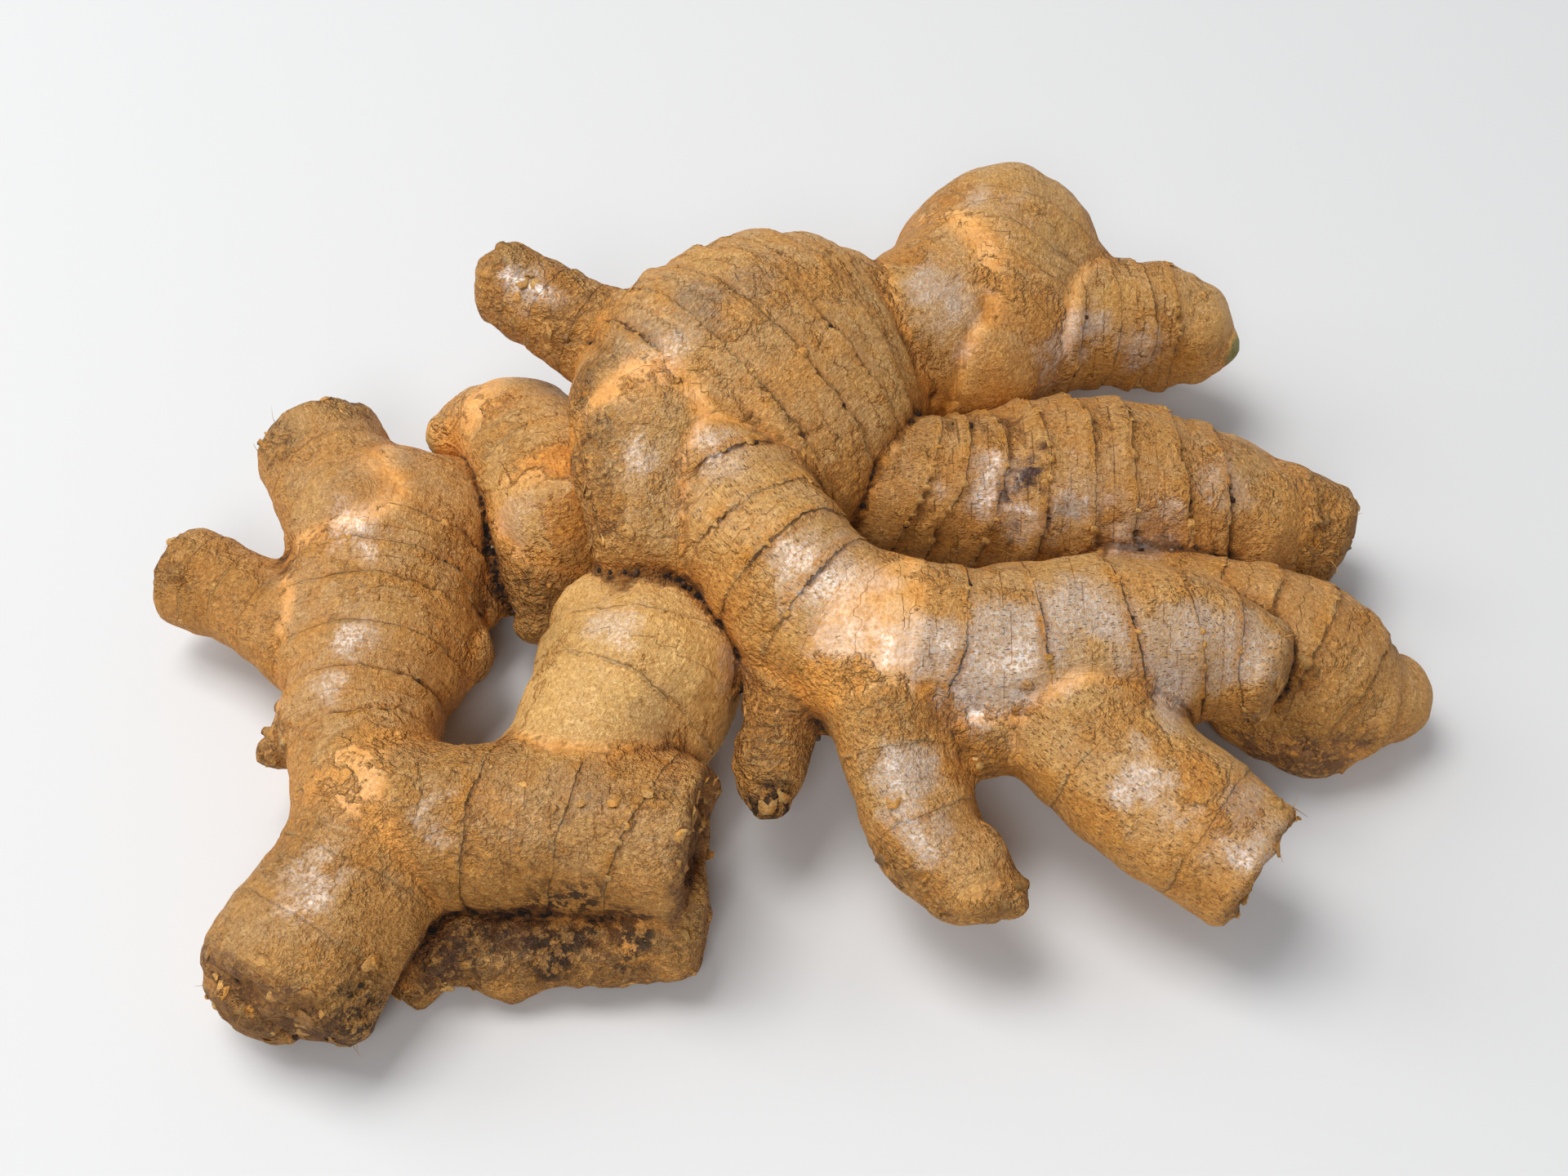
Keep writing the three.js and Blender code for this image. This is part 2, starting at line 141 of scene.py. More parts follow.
# Marks on the skin by kind: x, y, z and reach in millimetres, then strength.
# Many places were read off the solid's surface with a ray helper, then rounded.
MARKS = {
    "grey": [
        (-15, 16.5, 62, 8, 0.8), (-24, 12, 58, 6, 0.7), (-5, 21, 62, 6, 0.6), (-73, -2, 37, 8, 0.4),
        (-20, -50, 38, 5, 0.3), (-30, -66, 38, 5, 0.4), (48.5, -4, 33.5, 3.6, 1.0),
    ],
    "soot": [
        (-43.5, -13, 23.5, 6, 0.4), (-52, -14, 21, 4, 0.6), (-33, -75, 17.5, 12, 1.0), (-2, -56, 23, 4, 1.0),
        (-66, -92, 10, 7, 0.8), (-63, -92, 18, 7, 1.0), (-69, -95, 16, 7, 1.0), (-48, -76, 17, 6, 0.9),
    ],
    # Plum-brown spots, and painted shade in the arch under the lying body and on the low lobe under the arm.
    "plum_and_shade": [
        (41.5, 0.5, 38, 3.2, 1.0), (38, -2.5, 36.5, 2.2, 0.9), (44, 5, 39, 1.8, 0.8), (-54, -78, 14, 7, 0.8),
        (-43, -76, 15, 5, 0.6), (88, -42, 12, 9, 0.7), (78, -44, 12, 8, 0.7), (-70, -95, 14, 6, 0.5),
    ],
    "rust": [
        (29, -54, 30, 6, 0.9), (29, -59, 27, 6, 0.9), (-38, 3, 38, 6, 1.0), (-36, -7, 34, 6, 0.9),
        (0, -44, 30, 6, 0.7), (83, -36, 30, 5, 0.8), (64, -62, 37, 5, 0.8), (68, -66, 34, 5, 0.7),
        (48, -64, 29, 5, 0.4), (-46, 38, 50, 6, 0.6), (16, -69, 27, 5, 0.6), (24, -75, 25, 5, 0.5),
        (33, -72, 25, 5, 0.8), (-38, 31, 55, 4, 0.8), (-50, 32, 55, 4, 0.7), (-33, 7, 51, 4, 0.8),
        (-33, -6, 48.5, 5, 0.9), (-30, -18, 46, 5, 0.9), (33, 63, 48.5, 5, 0.5), (41, 54, 50, 6, 0.35),
        (21, 44, 46, 5, 0.6), (-49, 19, 35, 5, 0.5), (-81, -44, 24, 4, 0.9), (-52, -12, 21, 5, 0.6),
        (97, 0, 23, 5, 0.6), (4, -46, 36, 6, 0.5), (-24, -41, 38, 5, 0.4), (-60, -80, 14, 6, 0.8),
    ],
    # Silvery patches of skin, which the skin's colour also gives a painted highlight.
    "silver_and_highlight": [
        (20, -44, 47, 9, 0.8), (30, -48, 41, 9, 1.0), (39, -44, 46, 10, 1.0), (48, -39, 47, 10, 1.0),
        (62.5, -42, 42, 10, 1.0), (73, -39, 41, 8, 0.8), (18.7, -61, 36, 9, 1.0), (20.5, -68, 32.5, 6, 0.9),
        (55, -62, 36, 7, 0.8), (71, -66, 34, 6, 0.7), (70, -72, 31, 5, 0.8), (-19, 8, 59.5, 5, 0.3),
        (-22, -10, 53.5, 5, 0.4), (7.5, -32, 52, 10, 0.6), (8, -41, 48, 6, 0.6), (-42, 28, 55, 6, 0.7),
        (-46, -14, 30, 5, 0.3), (50, 34, 34, 7, 0.6), (-71, -11, 36, 6, 0.5), (-70, -32, 34, 5, 0.5),
        (-73, -40, 33, 5, 0.4), (-71, -78, 33, 6, 0.5), (-53, -69, 36, 4, 0.4), (-26, -36, 43, 6, 0.5),
        (-10.5, -38, 33, 5, 0.6), (30, 34, 45, 9, 0.9), (26, 37, 48, 6, 0.8), (55, 39, 36, 7, 0.9),
        (42, -5, 32, 6, 0.8), (35, -2, 37, 7, 0.8), (62, -5, 30, 8, 0.7), (52, -2, 34, 7, 0.5), (76, 1.5, 33, 6, 0.6),
        (-47, 30, 56, 4, 0.9), (66, 39, 30, 6, 0.8), (-44, -5, 31, 6, 0.35), (36, 58, 52, 5, 0.5),
        (-10, -10, 54, 6, 0.4), (41, 55, 51, 5, 0.5),
    ],
    "crag": [
        (-13.5, -66, 33, 6, 1.0), (-13, -66, 22, 7, 1.0), (-14, -76, 17, 6, 0.9), (-81.5, -44, 23.5, 4, 1.0),
        (35, -72, 24, 4, 1.0), (18, -71, 26, 5, 0.7), (76, -64, 27, 6, 0.8), (72, -72, 20, 5, 0.8),
        (82, -36, 31, 5, 0.6), (-49, 36, 54, 6, 0.6), (-38, 22, 51, 5, 0.8), (96, 0, 23, 6, 0.8),
        (-80, -91, 19, 6, 0.9), (-64, -90, 22, 6, 0.9), (-72, -95, 17, 7, 0.9), (-68, -94, 22, 6, 1.0),
        (31, -58, 28, 4, 0.9), (33, -64, 26, 4, 0.9), (24, -75, 23, 4, 0.7), (-90, 14, 31, 5, 0.8),
        (-78, 21, 31, 6, 0.8), (-104, -9, 24, 5, 0.8), (-30, -3, 53, 5, 0.8), (-32.5, -11, 47, 6, 1.0),
        (-31, -18.5, 43, 5, 1.0), (-33, 7, 51, 5, 1.0), (-33, -6, 48, 5, 1.0), (-29, -19, 45, 5, 0.9),
        (-29, 10, 55, 4, 0.6), (-2, -53, 25, 5, 1.0), (-50, -12, 23, 5, 0.8), (-56, -6, 30, 5, 0.5),
        (60, -12, 24, 6, 0.4), (-5, -60, 22, 4, 1.0),
    ],
    "ochre": [
        (-72, 0, 37, 8, 0.5), (-34, -2, 46, 7, 0.8), (-31, -17, 44, 6, 0.7), (22, -70, 30, 6, 0.3),
        (29, -54, 31, 7, 0.8), (-50, -60, 36, 9, 0.4), (-25, -62, 38, 8, 0.4),
    ],
}

# Where bark curls up off the skin, mostly read off the surface in the same way, and which way its free end points.
CURLS = [
    ((-81.5, -44, 23.5), (-1, -0.3, 0.2)), ((-80.5, -40, 22), (-1, 0.2, 0)), ((35.8, -72, 24), (1, -0.5, 0.3)),
    ((34.5, -74, 22), (1, -0.6, -0.3)), ((20, -73, 25), (-0.6, -1, 0)), ((16, -69.5, 27), (-1, -0.4, 0.2)),
    ((-13.6, -66.8, 34), (1, 0.1, 0.6)), ((-13, -65.8, 26), (1, 0.2, 0)), ((-13, -66, 19), (1, -0.1, -0.3)),
    ((-13.8, -76.8, 19.8), (1, -0.6, 0.2)), ((-13.5, -60, 33), (1, 0.5, 0.4)), ((76.6, -63.4, 31), (1, 0.4, 0.4)),
    ((76, -66, 22), (1, -0.4, -0.2)), ((70, -73, 20), (0.4, -1, -0.3)), ((73, -70, 27), (1, -0.8, 0.3)),
    ((82.7, -32, 30), (1, 0.4, 0)), ((79, -43.7, 34), (0.8, -0.7, 0.2)), ((-50, 36.5, 56), (-0.6, 0.8, 0.4)),
    ((-38, 22, 52), (0.8, -0.6, 0.2)), ((-45, 29, 55), (0.2, -1, 0.3)), ((94, 0.6, 25.4), (1, 0, 0.3)),
    ((98.8, -0.8, 22.6), (1, -0.3, 0)), ((-80.7, -90.8, 19.5), (-0.6, -0.8, 0)), ((-63, -89, 24), (0.6, -0.8, 0.3)),
    ((-70, -94.3, 23.4), (0, -1, 0.4)), ((-90.7, 13.4, 31.6), (-0.8, 0.5, 0.3)), ((-76, 21.7, 31.4), (0, 1, 0.3)),
    ((-104.4, -10.4, 25), (-1, 0.2, 0.2)), ((-30, -3, 53.7), (-1, 0, 0.5)), ((-32.7, -11.3, 46.8), (-1, -0.4, 0)),
    ((-31.3, -18.6, 43), (-0.8, -0.8, 0)), ((-2, -54, 24.4), (0.4, -1, -0.4)), ((-52, -14.5, 22.4), (-0.7, -0.7, 0)),
]
# How far fingers melt together within a group and between groups, a distance that counts as far away,
# a place with no ring near it, and how many points are measured at once.
MELT = 5.0
PRESS = 1.6
FAR = 40.0
NO_RING = 99.0
AT_ONCE = 60000
# Marks with softer borders than the rest, what scatters the noise, and how low loose bits may start.
SOFT_BORDER = {"silver_and_highlight": 0.8}
PRIMES = (73856093, 19349663, 83492791)
TABLE_GAP = CENTRE[2] + 1.5
# A flake's points and its rows (how far out, how high, how wide), a hair's sides and rings, a crumb's points.
FLAKE_POINTS = 24
FLAKE_ROWS = ((-0.5, -0.3, 1.0), (0.25, 0.06, 0.95), (0.65, 0.42, 0.8), (1.0, 1.0, 0.5))
HAIR_SIDES, HAIR_RINGS = 4, 6
CRUMB_POINTS = 26


# ---- small helpers for smooth random relief ----
def lattice_noise(p, size, seed):
    """Smooth value noise from -1 to 1 at points p, with cells of the given size."""
    q = np.asarray(p, np.float64) / size
    cell = np.floor(q).astype(np.int64)
    f = q - cell
    f = f * f * (3 - 2 * f)
    total = np.zeros(len(q))
    for corner in range(8):
        bits = ((corner >> 0) & 1, (corner >> 1) & 1, (corner >> 2) & 1)
        x, y, z = ((cell[:, k] + bits[k]) * PRIMES[k] for k in range(3))
        h = x ^ y ^ z
        h = (h ^ (seed * 2654435761)) & 0x7FFFFFFF
        h = (h ^ (h >> 13)) * 1274126177 & 0x7FFFFFFF
        h = (h ^ (h >> 16)) & 0xFFFF
        weight = np.ones(len(q))
        for axis in range(3):
            weight = weight * (f[:, axis] if bits[axis] else 1 - f[:, axis])
        total += weight * (h / 32767.5 - 1)
    return total


def ramp(x, low, high):
    """Smooth step from 0 at low to 1 at high."""
    t = np.clip((x - low) / (high - low), 0, 1)
    return t * t * (3 - 2 * t)


def catmull(points, t):
    """Points on the same smooth axis that the solid's fingers follow."""
    p = np.asarray(points, float)
    last = len(p) - 2
    p = np.vstack([2 * p[0] - p[1], p, 2 * p[-1] - p[-2]])
    i = np.clip(np.floor(t).astype(int), 0, last)
    u = (t - i)[:, None]
    a, b, c, d = p[i], p[i + 1], p[i + 2], p[i + 3]
    return 0.5 * (2 * b + (c - a) * u + (2 * a - 5 * b + 4 * c - d) * u**2 + (3 * b - a - 3 * c + d) * u**3)


def melt(a, b, k):
    """The lower of two distances, rounded over where they meet."""
    h = np.maximum(k - np.abs(a - b), 0) / k
    return np.minimum(a, b) - h * h * k / 4


def unit(v):
    """Rows of v at length one."""
    return v / np.maximum(np.linalg.norm(v, axis=1), 1e-9)[:, None]


def dots(a, b):
    """Dot product of each row of a with the same row of b."""
    return np.einsum("ij,ij->i", a, b)


def nearest(points, spots):
    """For each spot, which point lies nearest."""
    return np.array([np.argmin(np.linalg.norm(points - spot, axis=1)) for spot in spots])


# ---- one finger's form ----
class Finger:
    """One finger's axis, radii, rings and ends, measured along its length."""

    def __init__(self, index, spec):
        self.index, self.spec = index, spec
        at = spec["at"]
        dense = catmull(at, np.linspace(0, len(at) - 1, 400))
        run = np.r_[0, np.cumsum(np.linalg.norm(np.diff(dense[:, :3], axis=0), axis=1))]
        self.length = run[-1]
        count = max(6, int(self.length / 0.8))
        self.s = np.linspace(0, self.length, count)
        self.c = np.stack([np.interp(self.s, run, dense[:, k]) for k in range(3)], 1)
        self.r = np.interp(self.s, run, dense[:, 3])
        t = np.gradient(self.c, axis=0)
        self.t = unit(t)
        side = np.cross(self.t, np.asarray(spec.get("top", (0, 0, 1)), float))
        self.side = unit(side)
        self.top = np.cross(self.side, self.t)
        self.slope = np.gradient(self.r, self.s)
        self.wide = math.sqrt(spec.get("wide", 1.0))
        self.cap = spec.get("cap", 1.0)
        self.blunt = spec.get("blunt", False)
        self.lean = spec.get("lean", (0.0, 0.0))
        self.rings = np.asarray(spec.get("rings", []), float)
        reach = self.r.max() * self.wide + 7
        self.low, self.high = self.c.min(0) - reach, self.c.max(0) + reach

    def local(self, p):
        """Place along the axis, offsets to the side and to the top, and the radius there."""
        near = np.empty(len(p), int)
        square = (self.c * self.c).sum(1)
        for k in range(0, len(p), AT_ONCE):
            q = p[k:k + AT_ONCE]
            d = (q * q).sum(1)[:, None] + square - 2 * (q @ self.c.T)
            near[k:k + AT_ONCE] = np.argmin(np.sqrt(np.maximum(d, 0)) - self.r, axis=1)
        off = p - self.c[near]
        along, x, y = (dots(off, way[near]) for way in (self.t, self.side, self.top))
        s = self.s[near] + along
        inside = np.clip(s, 0, self.length)
        radius = self.r[near] + self.slope[near] * (inside - self.s[near])
        return s, x, y, radius, near

    def distance(self, p):
        """How far points lie outside the plain finger, about in millimetres."""
        s, x, y, radius, _ = self.local(p)
        a, b = x / self.wide, y * self.wide
        angle = np.arctan2(b, a)
        inside = np.clip(s, 0, self.length)
        radius = radius * (1 + KNOBBLE * (np.sin(3 * angle + self.index)
                                          + 0.7 * np.sin(2 * angle + 0.19 * inside + 2 * self.index)))
        over = s - inside
        over = np.where(over > 0, over / self.cap, over / 0.8)
        rounded = np.sqrt(a * a + b * b + over * over) - radius
        if not self.blunt:
            return rounded
        flat = -melt(radius - np.sqrt(a * a + b * b), self.length + self.cap * self.r[-1] - s, 2.6)
        return np.where(s > self.length - 3, flat, rounded)

    def ring_place(self, p):
        """Signed way past the nearest leaf scar, and how far through its internode a point is."""
        s, x, y, radius, near = self.local(p)
        if len(self.rings) == 0:
            return np.full(len(p), NO_RING), np.zeros(len(p)), radius
        tilt = self.lean[0] + (self.lean[1] - self.lean[0]) * np.clip(s / self.length, 0, 1)
        rise = x * (self.side[near] @ RISE) + y * (self.top[near] @ RISE)
        wobble = 0.55 * lattice_noise(p, 6.0, 11 + self.index) + 0.25 * lattice_noise(p, 2.2, 31 + self.index)
        place = s - tilt * rise + wobble
        after = np.searchsorted(self.rings, place)
        before_ring = self.rings[np.clip(after - 1, 0, None)]
        next_ring = self.rings[np.clip(after, None, len(self.rings) - 1)]
        past = np.where(after > 0, place - before_ring, NO_RING)
        to_go = np.where(after < len(self.rings), place - next_ring, -NO_RING)
        signed = np.where(past < -to_go, past, to_go)
        span = np.where(after > 0, next_ring - before_ring, next_ring + 6.0)
        through = np.where(after < len(self.rings), np.clip(1 + to_go / np.maximum(span, 1.0), 0, 1), 0.0)
        return signed, through, radius


HAND = [Finger(i, f) for i, f in enumerate(FINGERS)]
GROUPS = sorted({f["group"] for f in FINGERS})


def hand_distance(p, details=False):
    """Distance outside the whole hand; with details, also the owning finger and how clearly it owns the place."""
    total = np.full(len(p), FAR)
    first = np.full(len(p), FAR)
    second = np.full(len(p), FAR)
    owner = np.zeros(len(p), int)
    for group in GROUPS:
        joined = np.full(len(p), FAR)
        for finger in HAND:
            if finger.spec["group"] != group:
                continue
            inside = np.all((p > finger.low) & (p < finger.high), axis=1).nonzero()[0]
            if len(inside) == 0:
                continue
            d = finger.distance(p[inside])
            joined[inside] = melt(joined[inside], d, MELT)
            if details:
                better = d < first[inside]
                second[inside] = np.where(better, first[inside], np.minimum(second[inside], d))
                owner[inside] = np.where(better, finger.index, owner[inside])
                first[inside] = np.minimum(first[inside], d)
        total = melt(total, joined, PRESS)
    if details:
        return total, owner, second - first
    return total


def hand_slope(p, step=0.25):
    """Distance and its gradient."""
    here = hand_distance(p)
    grad = np.zeros_like(p)
    for axis in range(3):
        shift = np.zeros(3)
        shift[axis] = step
        grad[:, axis] = (hand_distance(p + shift) - here) / step
    return here, grad


# ---- skin mesh: the surface of that distance, as even quads ----
def surface_quads(field, origin, size):
    """Quads between the cells of a grid whose corners change sign."""
    inside = field < 0
    nx, ny, nz = field.shape
    cells = np.zeros((nx - 1, ny - 1, nz - 1), int)
    corners = [(i, j, k) for i in (0, 1) for j in (0, 1) for k in (0, 1)]
    for i, j, k in corners:
        cells += inside[i:nx - 1 + i, j:ny - 1 + j, k:nz - 1 + k]
    active = (cells > 0) & (cells < 8)
    number = np.full(active.shape, -1)
    spots = np.argwhere(active)
    number[active] = np.arange(len(spots))
    total = np.zeros((len(spots), 3))
    count = np.zeros(len(spots))
    for a in range(8):
        for b in range(a + 1, 8):
            ca, cb = np.array(corners[a]), np.array(corners[b])
            if np.abs(ca - cb).sum() != 1:
                continue
            fa = field[tuple((spots + ca).T)]
            fb = field[tuple((spots + cb).T)]
            crossing = (fa < 0) != (fb < 0)
            t = np.where(crossing, fa / np.where(crossing, fa - fb, 1), 0)
            total += np.where(crossing[:, None], ca + t[:, None] * (cb - ca), 0)
            count += crossing
    points = origin + (spots + total / count[:, None]) * size
    quads = []
    for axis in range(3):
        u, v = (axis + 1) % 3, (axis + 2) % 3
        lower = [slice(None)] * 3
        upper = [slice(None)] * 3
        lower[axis], upper[axis] = slice(0, -1), slice(1, None)
        change = inside[tuple(lower)] != inside[tuple(upper)]
        edge = np.argwhere(change)
        edge = edge[(edge[:, u] > 0) & (edge[:, v] > 0)
                    & (edge[:, u] < field.shape[u] - 1) & (edge[:, v] < field.shape[v] - 1)]
        du, dv = np.eye(3, dtype=int)[u], np.eye(3, dtype=int)[v]
        ring = [number[tuple((edge + o).T)] for o in (-du - dv, -dv, 0 * du, -du)]
        quad = np.stack(ring, 1)
        flip = ~inside[tuple(edge.T)]
        quad[flip] = quad[flip][:, ::-1]
        quads.append(quad)
    return points, np.vstack(quads)


def skin_form():
    """The whole hand's surface points and quads, on the true smooth form."""
    low = np.min([f.low for f in HAND], axis=0) + 3
    high = np.max([f.high for f in HAND], axis=0) - 3
    shape = np.ceil((high - low) / SKIN_GRID).astype(int) + 1
    field = np.full(shape, FAR, np.float32)
    axes = [low[k] + np.arange(shape[k]) * SKIN_GRID for k in range(3)]
    for group in GROUPS:
        joined = np.full(shape, FAR, np.float32)
        for finger in HAND:
            if finger.spec["group"] != group:
                continue
            a = [np.searchsorted(axes[k], finger.low[k]) for k in range(3)]
            b = [np.searchsorted(axes[k], finger.high[k]) for k in range(3)]
            box = tuple(slice(a[k], b[k]) for k in range(3))
            grid = np.stack(np.meshgrid(*[axes[k][box[k]] for k in range(3)], indexing="ij"), -1)
            d = finger.distance(grid.reshape(-1, 3)).reshape(grid.shape[:3])
            joined[box] = melt(joined[box], d, MELT)
        field = melt(field, joined, PRESS)
    points, quads = surface_quads(field, low, SKIN_GRID)
    for _ in range(2):
        points, _ = settle(points, 0.9)
    return points, quads


def neighbours(quads, count):
    """For each point, the other ends of its edges."""
    e = np.vstack([quads[:, [0, 1]], quads[:, [1, 2]], quads[:, [2, 3]], quads[:, [3, 0]]])
    e = np.vstack([e, e[:, ::-1]])
    degree = np.bincount(e[:, 0], minlength=count).astype(float)
    return e, degree


def smoothed(values, edges, degree, rounds):
    """Values averaged over neighbours."""
    v = values.copy()
    for _ in range(rounds):
        if v.ndim == 1:
            mean = np.bincount(edges[:, 0], v[edges[:, 1]], len(v)) / degree
        else:
            mean = np.stack([np.bincount(edges[:, 0], v[edges[:, 1], k], len(v)) / degree for k in range(3)], 1)
        v = 0.5 * v + 0.5 * mean
    return v


def face_normals(points, quads):
    """Point normals from the quads' diagonals."""
    n = np.cross(points[quads[:, 2]] - points[quads[:, 0]], points[quads[:, 3]] - points[quads[:, 1]])
    total = np.stack([np.bincount(quads.ravel(), np.repeat(n[:, k], 4), len(points)) for k in range(3)], 1)
    return unit(total)


def ring_height(signed, through, radius):
    """Height of the skin over the plain form: a slow swell up to a scar, then a sharp drop."""
    crest = np.minimum(RING_HEIGHT_MAX, RING_HEIGHT * radius)
    return np.where(signed <= 0, crest * through**1.6, 0.0)


def settle(points, share=1.0):
    """Points moved a share of the way back on to the smooth form, and the normals there."""
    d, g = hand_slope(points)
    points = points - (d / np.maximum((g * g).sum(1), 0.2))[:, None] * g * share
    return points, unit(g)


def ring_places(points, owner):
    """Signed way past the nearest scar, share of the internode, radius and axis direction, by owning finger."""
    signed, through, radius = np.full(len(points), NO_RING), np.zeros(len(points)), np.full(len(points), 8.0)
    axis, place = np.zeros((len(points), 3)), np.zeros((len(points), 3))
    for finger in HAND:
        mine = (owner == finger.index).nonzero()[0]
        if len(mine) == 0:
            continue
        signed[mine], through[mine], radius[mine] = finger.ring_place(points[mine])
        s, x, y, _, near = finger.local(points[mine])
        axis[mine] = finger.t[near]
        place[mine] = np.stack([s, x, y], 1)
    return signed, through, radius, axis, place


def by_finger(owner, key):
    """One looks value for each point, from the finger that owns it."""
    return np.array([f.get(key, PLAIN.get(key, 0.0)) for f in FINGERS], float)[owner]


def marked(points, kind):
    """How strongly points lie in the named marks of one kind, with uneven borders."""
    total = np.zeros(len(points))
    border = SOFT_BORDER.get(kind, 0.5)
    for *place, reach, amount in MARKS[kind]:
        far = np.linalg.norm(points - np.array(place), axis=1)
        near = far < 1.8 * reach
        uneven = 0.5 * lattice_noise(points[near], 0.6 * reach, 91)
        uneven = uneven + 0.3 * lattice_noise(points[near], 0.22 * reach, 92)
        total[near] = np.maximum(total[near], amount * ramp(1.05 - far[near] / reach + uneven, 0, border))
    return total


def end_places(points, owner):
    """How much a point belongs to a dried, blunt end, and how far out from the axis it lies there."""
    scar, out = np.zeros(len(points)), np.zeros(len(points))
    for finger in HAND:
        amount = finger.spec.get("scar", 0.0)
        mine = (owner == finger.index).nonzero()[0]
        if amount == 0 or len(mine) == 0:
            continue
        s, x, y, radius, _ = finger.local(points[mine])
        edge = 0.9 * lattice_noise(points[mine], 3.0, 21)
        start = (0.55 if finger.blunt else 0.25) * finger.cap * finger.r[-1]
        scar[mine] = amount * ramp(s - finger.length + edge, start, start + 1.3)
        out[mine] = np.sqrt(x * x + y * y) / radius
    return scar, out


def grow_skin():
    """The skin's points, quads and everything its finish needs to know about each point."""
    points, quads = skin_form()
    _, owner, margin = hand_distance(points, details=True)
    clear = ramp(margin, 0.3, 2.2)
    edges, degree = neighbours(quads, len(points))
    for _ in range(2):
        signed, through, radius, axis, place = ring_places(points, owner)
        near = np.abs(signed) < 0.75
        goal = np.sign(signed) * (0.12 + (np.abs(signed) / 0.75) ** 2 * 0.63)
        shift = np.where(near, goal - signed, 0) * clear
        points = points + axis * shift[:, None]
        points, normal = settle(points)
    signed, through, radius, axis, place = ring_places(points, owner)
    signed = np.where(signed == 0, 1e-3, signed)

    uneven = np.clip(0.75 + 0.75 * lattice_noise(points, 8.0, 5) + 0.3 * lattice_noise(points, 3.0, 6), 0.05, 1.4)
    height = ring_height(signed, through, radius) * uneven * by_finger(owner, "step") * clear
    gash = ramp(-np.abs(signed), -0.5, -0.1) * by_finger(owner, "crack") * clear * np.clip(uneven, 0, 1)
    long_place = place * np.array([0.22, 1.0, 1.0])
    cross_place = place * np.array([1.0, 0.3, 0.3])
    wrinkles = lattice_noise(long_place, 1.6, 61) * 0.10 + lattice_noise(cross_place, 1.9, 62) * 0.13
    lumps = (lattice_noise(points, 13.0, 3) * 0.75 + lattice_noise(points, 5.5, 4) * 0.38
             + lattice_noise(points, 2.6, 7) * 0.20)
    bark = np.maximum(by_finger(owner, "bark") * clear, marked(points, "crag"))
    crags = np.abs(lattice_noise(points, 3.6, 8)) * 0.8 + lattice_noise(points, 1.8, 9) * 0.35
    height = height - 0.28 * gash + wrinkles + lumps + bark * (crags - 0.3) * 1.15
    scar, out = end_places(points, owner)
    dish = ramp(out, 0.95, 0.55)
    torn = lattice_noise(points, 2.4, 15) * 0.65 + lattice_noise(points, 5.0, 16) * 0.5
    height = height + scar * (torn - 0.9 * dish + 0.15)
    points = points + normal * height[:, None]
    points[:, 2] = np.maximum(points[:, 2], CENTRE[2])

    normal = face_normals(points, quads)
    fine = dots(smoothed(points, edges, degree, 6) - points, normal)
    broad = dots(smoothed(points, edges, degree, 60) - points, normal)
    looks = {
        "hollow": np.clip(fine / 0.32, 0, 1),
        "valley": np.clip(broad / 1.3, 0, 1),
        "proud": np.clip(-fine / 0.22, 0, 1) * 0.7 + np.clip(-broad / 1.6, 0, 1) * 0.3,
        # How far the skin faces up; besides the crust and coat, it paints a sheen on tops and shade on the sides.
        "top": ramp(smoothed(normal, edges, degree, 8)[:, 2], -0.1, 0.95),
        "clear": clear,
        "ring_gap": np.clip(signed, -9, 9) + np.sign(signed) * (1 - clear) * 4,
        "crack": smoothed(by_finger(owner, "crack"), edges, degree, 6) * np.clip(uneven, 0, 1),
        "scar": scar,
        "bud": by_finger(owner, "bud") * clear,
        "bark": smoothed(bark, edges, degree, 3),
    }
    for key, rounds in (("dashes", 10), ("crust", 14), ("smooth", 10), ("fringe", 4), ("worn", 16)):
        looks[key] = smoothed(by_finger(owner, key), edges, degree, rounds)
    for kind in ("grey", "rust", "soot", "plum_and_shade", "silver_and_highlight", "ochre"):
        looks[kind] = marked(points, kind)
    return points, quads, normal, axis, place, signed, clear, looks


# ---- turning points and quads into pieces ----
def make_piece(name, points, faces, material, slot="skin", floats=None, vectors=None):
    """A mesh piece that rides with the rhizome; points are in the hand's millimetres."""
    mesh = bpy.data.meshes.new(name)
    place = (np.asarray(points) - CENTRE) * MM
    place[:, 2] = np.maximum(place[:, 2], 0)
    faces = np.asarray(faces)
    size = faces.shape[1]
    mesh.vertices.add(len(place))
    mesh.vertices.foreach_set("co", place.astype(np.float32).ravel())
    mesh.loops.add(faces.size)
    mesh.loops.foreach_set("vertex_index", faces.ravel().astype(np.int32))
    mesh.polygons.add(len(faces))
    mesh.polygons.foreach_set("loop_start", np.arange(0, faces.size, size, dtype=np.int32))
    mesh.polygons.foreach_set("loop_total", np.full(len(faces), size, np.int32))
    mesh.update(calc_edges=True)
    mesh.validate()
    for key, values in (floats or {}).items():
        mesh.attributes.new(key, "FLOAT", "POINT").data.foreach_set("value", np.asarray(values, np.float32))
    for key, values in (vectors or {}).items():
        mesh.attributes.new(key, "FLOAT_VECTOR", "POINT").data.foreach_set(
            "vector", np.asarray(values, np.float32).ravel())
    mesh.polygons.foreach_set("use_smooth", np.full(len(faces), True))
    piece = bpy.data.objects.new(name, mesh)
    bpy.context.scene.collection.objects.link(piece)
    mesh.materials.append(material)
    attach(piece, "root")
    return piece


